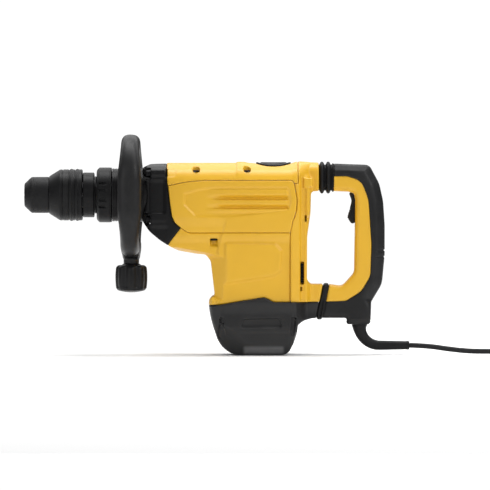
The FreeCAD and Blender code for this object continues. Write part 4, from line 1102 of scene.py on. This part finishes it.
def trigger_shape(x, y, z):
    """Trigger blade with five grip lines and a hole for its pivot."""
    blade = poly(x, z, [(208.8, 235.3, 3), (213.2, 223.0, 10), (210.2, 211.0, 12), (206.6, 199.0, 4),
                        (213.2, 188.8, 3.5), (219.3, 192.6, 2), (221.5, 214.0, 6), (225.3, 230.0),
                        (225.3, 236.8, 2), (219.0, 237.3, 2)])
    body = meet(blade, np.abs(y) - 9.7, 3.2)
    for i in range(5):
        grip = np.maximum(np.abs(z - 197.0 - 3.4 * i) - 0.4, np.maximum(-blade - 0.6, x - 214))
        body = carve(body, grip, 0.3)
    return np.maximum(body, -(np.hypot(x - 223.0, z - 234.0) - 2.1))


def bellows_shape(x, y, z):
    """Two thick ridges round the upper arm, and a lip over the overmould's edge."""
    low, high = 236.6, 276.8
    section = poly(y, z, [(-19.6, low, 11), (19.6, low, 11), (19.6, high, 13), (-19.6, high, 13)])
    ridges = 2.2 * ease(x, 183.6, 185.2) - 1.6
    for ridge in (169.9, 179.0):
        ridges = ridges + 4.6 * np.exp(-((x - ridge) / 2.9) ** 4)
    body = meet((section - ridges) * 0.75, np.maximum(165.3 - x, x - 187.0), 0.5)
    return np.maximum(body, -np.maximum(section + 7.0, np.abs(x - 176.0) - 14.0))


def boot_shape(x, y, z):
    """Boot round the lower arm: one thick band at the top that parts into two strands lower down."""
    lean = foot_lean(z)
    middle = 166.2 + 10.0 * lean
    section = poly(y, z, [(-21.4, 53.2, 10), (21.4, 53.2, 10), (21.4, 101.4, 8), (-21.4, 101.4, 8)])
    apart = 1.2 + 1.7 * ease(lean, 0.8, 0.3) * ease(z, 52.5, 58.5)
    ridges = 2.2 * np.exp(-((np.abs(x - middle) - apart) / 2.1) ** 4)
    half = 5.3 - 0.6 * ease(lean, 0.3, 0.8)
    body = meet((section - ridges) * 0.75, np.abs(x - middle) - half, 1.6)
    return np.maximum(body, -np.maximum(section + 6.5, np.abs(x - middle) - 20.0))


def make_rear_handle():
    for node, side in (("rear_handle_left", -1), ("rear_handle_right", 1)):
        solid_for(node, YELLOW_SHELL, MEDIUM, half_of(shell_shape, side), "rear_handle", "shell_yellow")
    solid_for("grip_overmould", BLACK_GRIP, MEDIUM, overmould_shape, "rear_handle", "grip_black")
    solid_for("trigger", BLACK_PLASTIC, FINE, trigger_shape, "trigger", "plastic_black")
    for node, shape, start, end in (("upper_bellows", bellows_shape, 0.1660, 0.1865),
                                    ("lower_boot", boot_shape, 0.1610, 0.1800)):
        low, high = box_mm(node)
        obj = solid(node + "_form", BLACK_RUBBER, low - 4.0, high + 4.0, FINE, shape)
        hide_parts(node)
        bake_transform(obj)


make_rear_handle()


# ---- screws ----
# radius, height, where the recess ends, radius of the recess, rounding of the edge, sampling step
UPRIGHT_HEAD = (4.9, 2.6, 1.1, 2.4, 0.5, 0.45)
NOSE_HEAD = (5.1, 7.3, 4.0, 2.7, 0.8, 0.45)
GRIP_HEAD = (3.4, 1.7, 0.9, 1.9, 0.4, 0.4)


def screw_head(name, seat, axis, way, kind, material, body):
    """Round head with a six-lobed recess, rising from its seat along axis 0, 1 or 2, one way or the other."""
    radius, height, floor, recess, edge, step = kind

    def shape(*point):
        off = [value - start for value, start in zip(point, seat)]
        rise = off.pop(axis) * way
        u, v = off
        lobes = np.hypot(u, v) - recess * (1 + 0.14 * np.cos(6 * np.arctan2(v, u)))
        head = meet(np.hypot(u, v) - radius, np.maximum(-rise, rise - height), edge)
        return carve(head, np.maximum(lobes, floor - rise), 0.2)

    reach = np.full(3, radius + 0.1)
    middle = np.array(seat, float)
    reach[axis] = height / 2
    middle[axis] += way * height / 2
    head = solid(name, material, middle - reach, middle + reach, step, shape)
    return place(head, body, "steel_dark")


def make_screws():
    sides = (("l", -1), ("r", 1))
    heads = [screw_head("housing_screw_%d_%s" % (i, mark), (x, side * half, seat + 0.1 * way), 2, way,
                        UPRIGHT_HEAD, BLACK_STEEL, "housing")
             for i, (x, half, seat, way, *_) in enumerate(TOP_SCREWS + [LOW_SCREW]) for mark, side in sides]
    nose = [screw_head("nose_screw_%d_%s" % (i, mark), (-77.0, side * NOSE_SCREW_Y, z), 0, -1,
                       NOSE_HEAD, BLACK_STEEL, "housing")
            for i, z in enumerate(NOSE_SCREW_Z) for mark, side in sides]
    grips = [screw_head("handle_screw_%d" % i, (x, 17.7, z), 1, 1, GRIP_HEAD, DARK_STEEL, "rear_handle")
             for i, (x, z) in enumerate(HANDLE_SCREWS)]
    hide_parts("housing_screws")
    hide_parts("nose_screws")
    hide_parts("handle_screws")


make_screws()


# ---- floor and light ----
FLOOR_HALF_X, FLOOR_FRONT, FLOOR_BACK = 2.0, -2.6, 2.3
# name, place, what it points at, size, watts
LIGHTS = [("key", (2.0, -1.7, 1.6), (0.0, 0.0, 0.18), (1.0, 1.0), 27),
          ("fill", (-1.8, -1.8, 0.7), (0.05, 0.0, 0.15), (1.2, 1.6), 9),
          ("top", (0.1, 0.15, 2.1), (0.05, 0.0, 0.1), (2.4, 1.0), 50),
          ("wash", (0.0, -3.2, 1.2), (0.0, -3.2, 0.0), (5.0, 3.4), 38),
          ("back", (0.0, 1.8, 1.5), (0.0, 1.8, 0.0), (5.4, 2.2), 62)]
WALLS_SEEN, WALLS_LIGHT = 1.05, 0.15      # the studio's walls: white to look at, but they add little light


def make_floor():
    paper = Shader("studio_paper", (0.94, 0.94, 0.94), 0.9)
    paper.set("Base Color", paper.blend(paper.noise(3.0, 2.0), (0.93, 0.93, 0.93), (0.95, 0.95, 0.95)))
    corners = [(-1, FLOOR_FRONT), (1, FLOOR_FRONT), (1, FLOOR_BACK), (-1, FLOOR_BACK)]
    points = [(side * FLOOR_HALF_X, y, 0.0) for side, y in corners]
    new_object("studio_floor", points, [(0, 1, 2, 3)], paper.material)


def area_light(name, location, target, size, power):
    data = bpy.data.lights.new(name, "AREA")
    data.shape = "RECTANGLE"
    data.size, data.size_y = size
    data.energy = power
    lamp = bpy.data.objects.new(name, data)
    bpy.context.scene.collection.objects.link(lamp)
    lamp.location = location
    lamp.rotation_mode = "QUATERNION"
    lamp.rotation_quaternion = (Vector(target) - Vector(location)).to_track_quat("-Z", "Y")


def make_walls():
    world = bpy.data.worlds.new("studio")
    world.use_nodes = True
    tree = world.node_tree
    walls = tree.nodes["Background"].inputs
    walls["Color"].default_value = (1, 1, 1, 1)
    strength = tree.nodes.new("ShaderNodeMapRange")
    strength.inputs["To Min"].default_value = WALLS_LIGHT
    strength.inputs["To Max"].default_value = WALLS_SEEN
    tree.links.new(tree.nodes.new("ShaderNodeLightPath").outputs["Is Camera Ray"], strength.inputs["Value"])
    tree.links.new(strength.outputs["Result"], walls["Strength"])
    bpy.context.scene.world = world


make_floor()
for light in LIGHTS:
    area_light(*light)
make_walls()
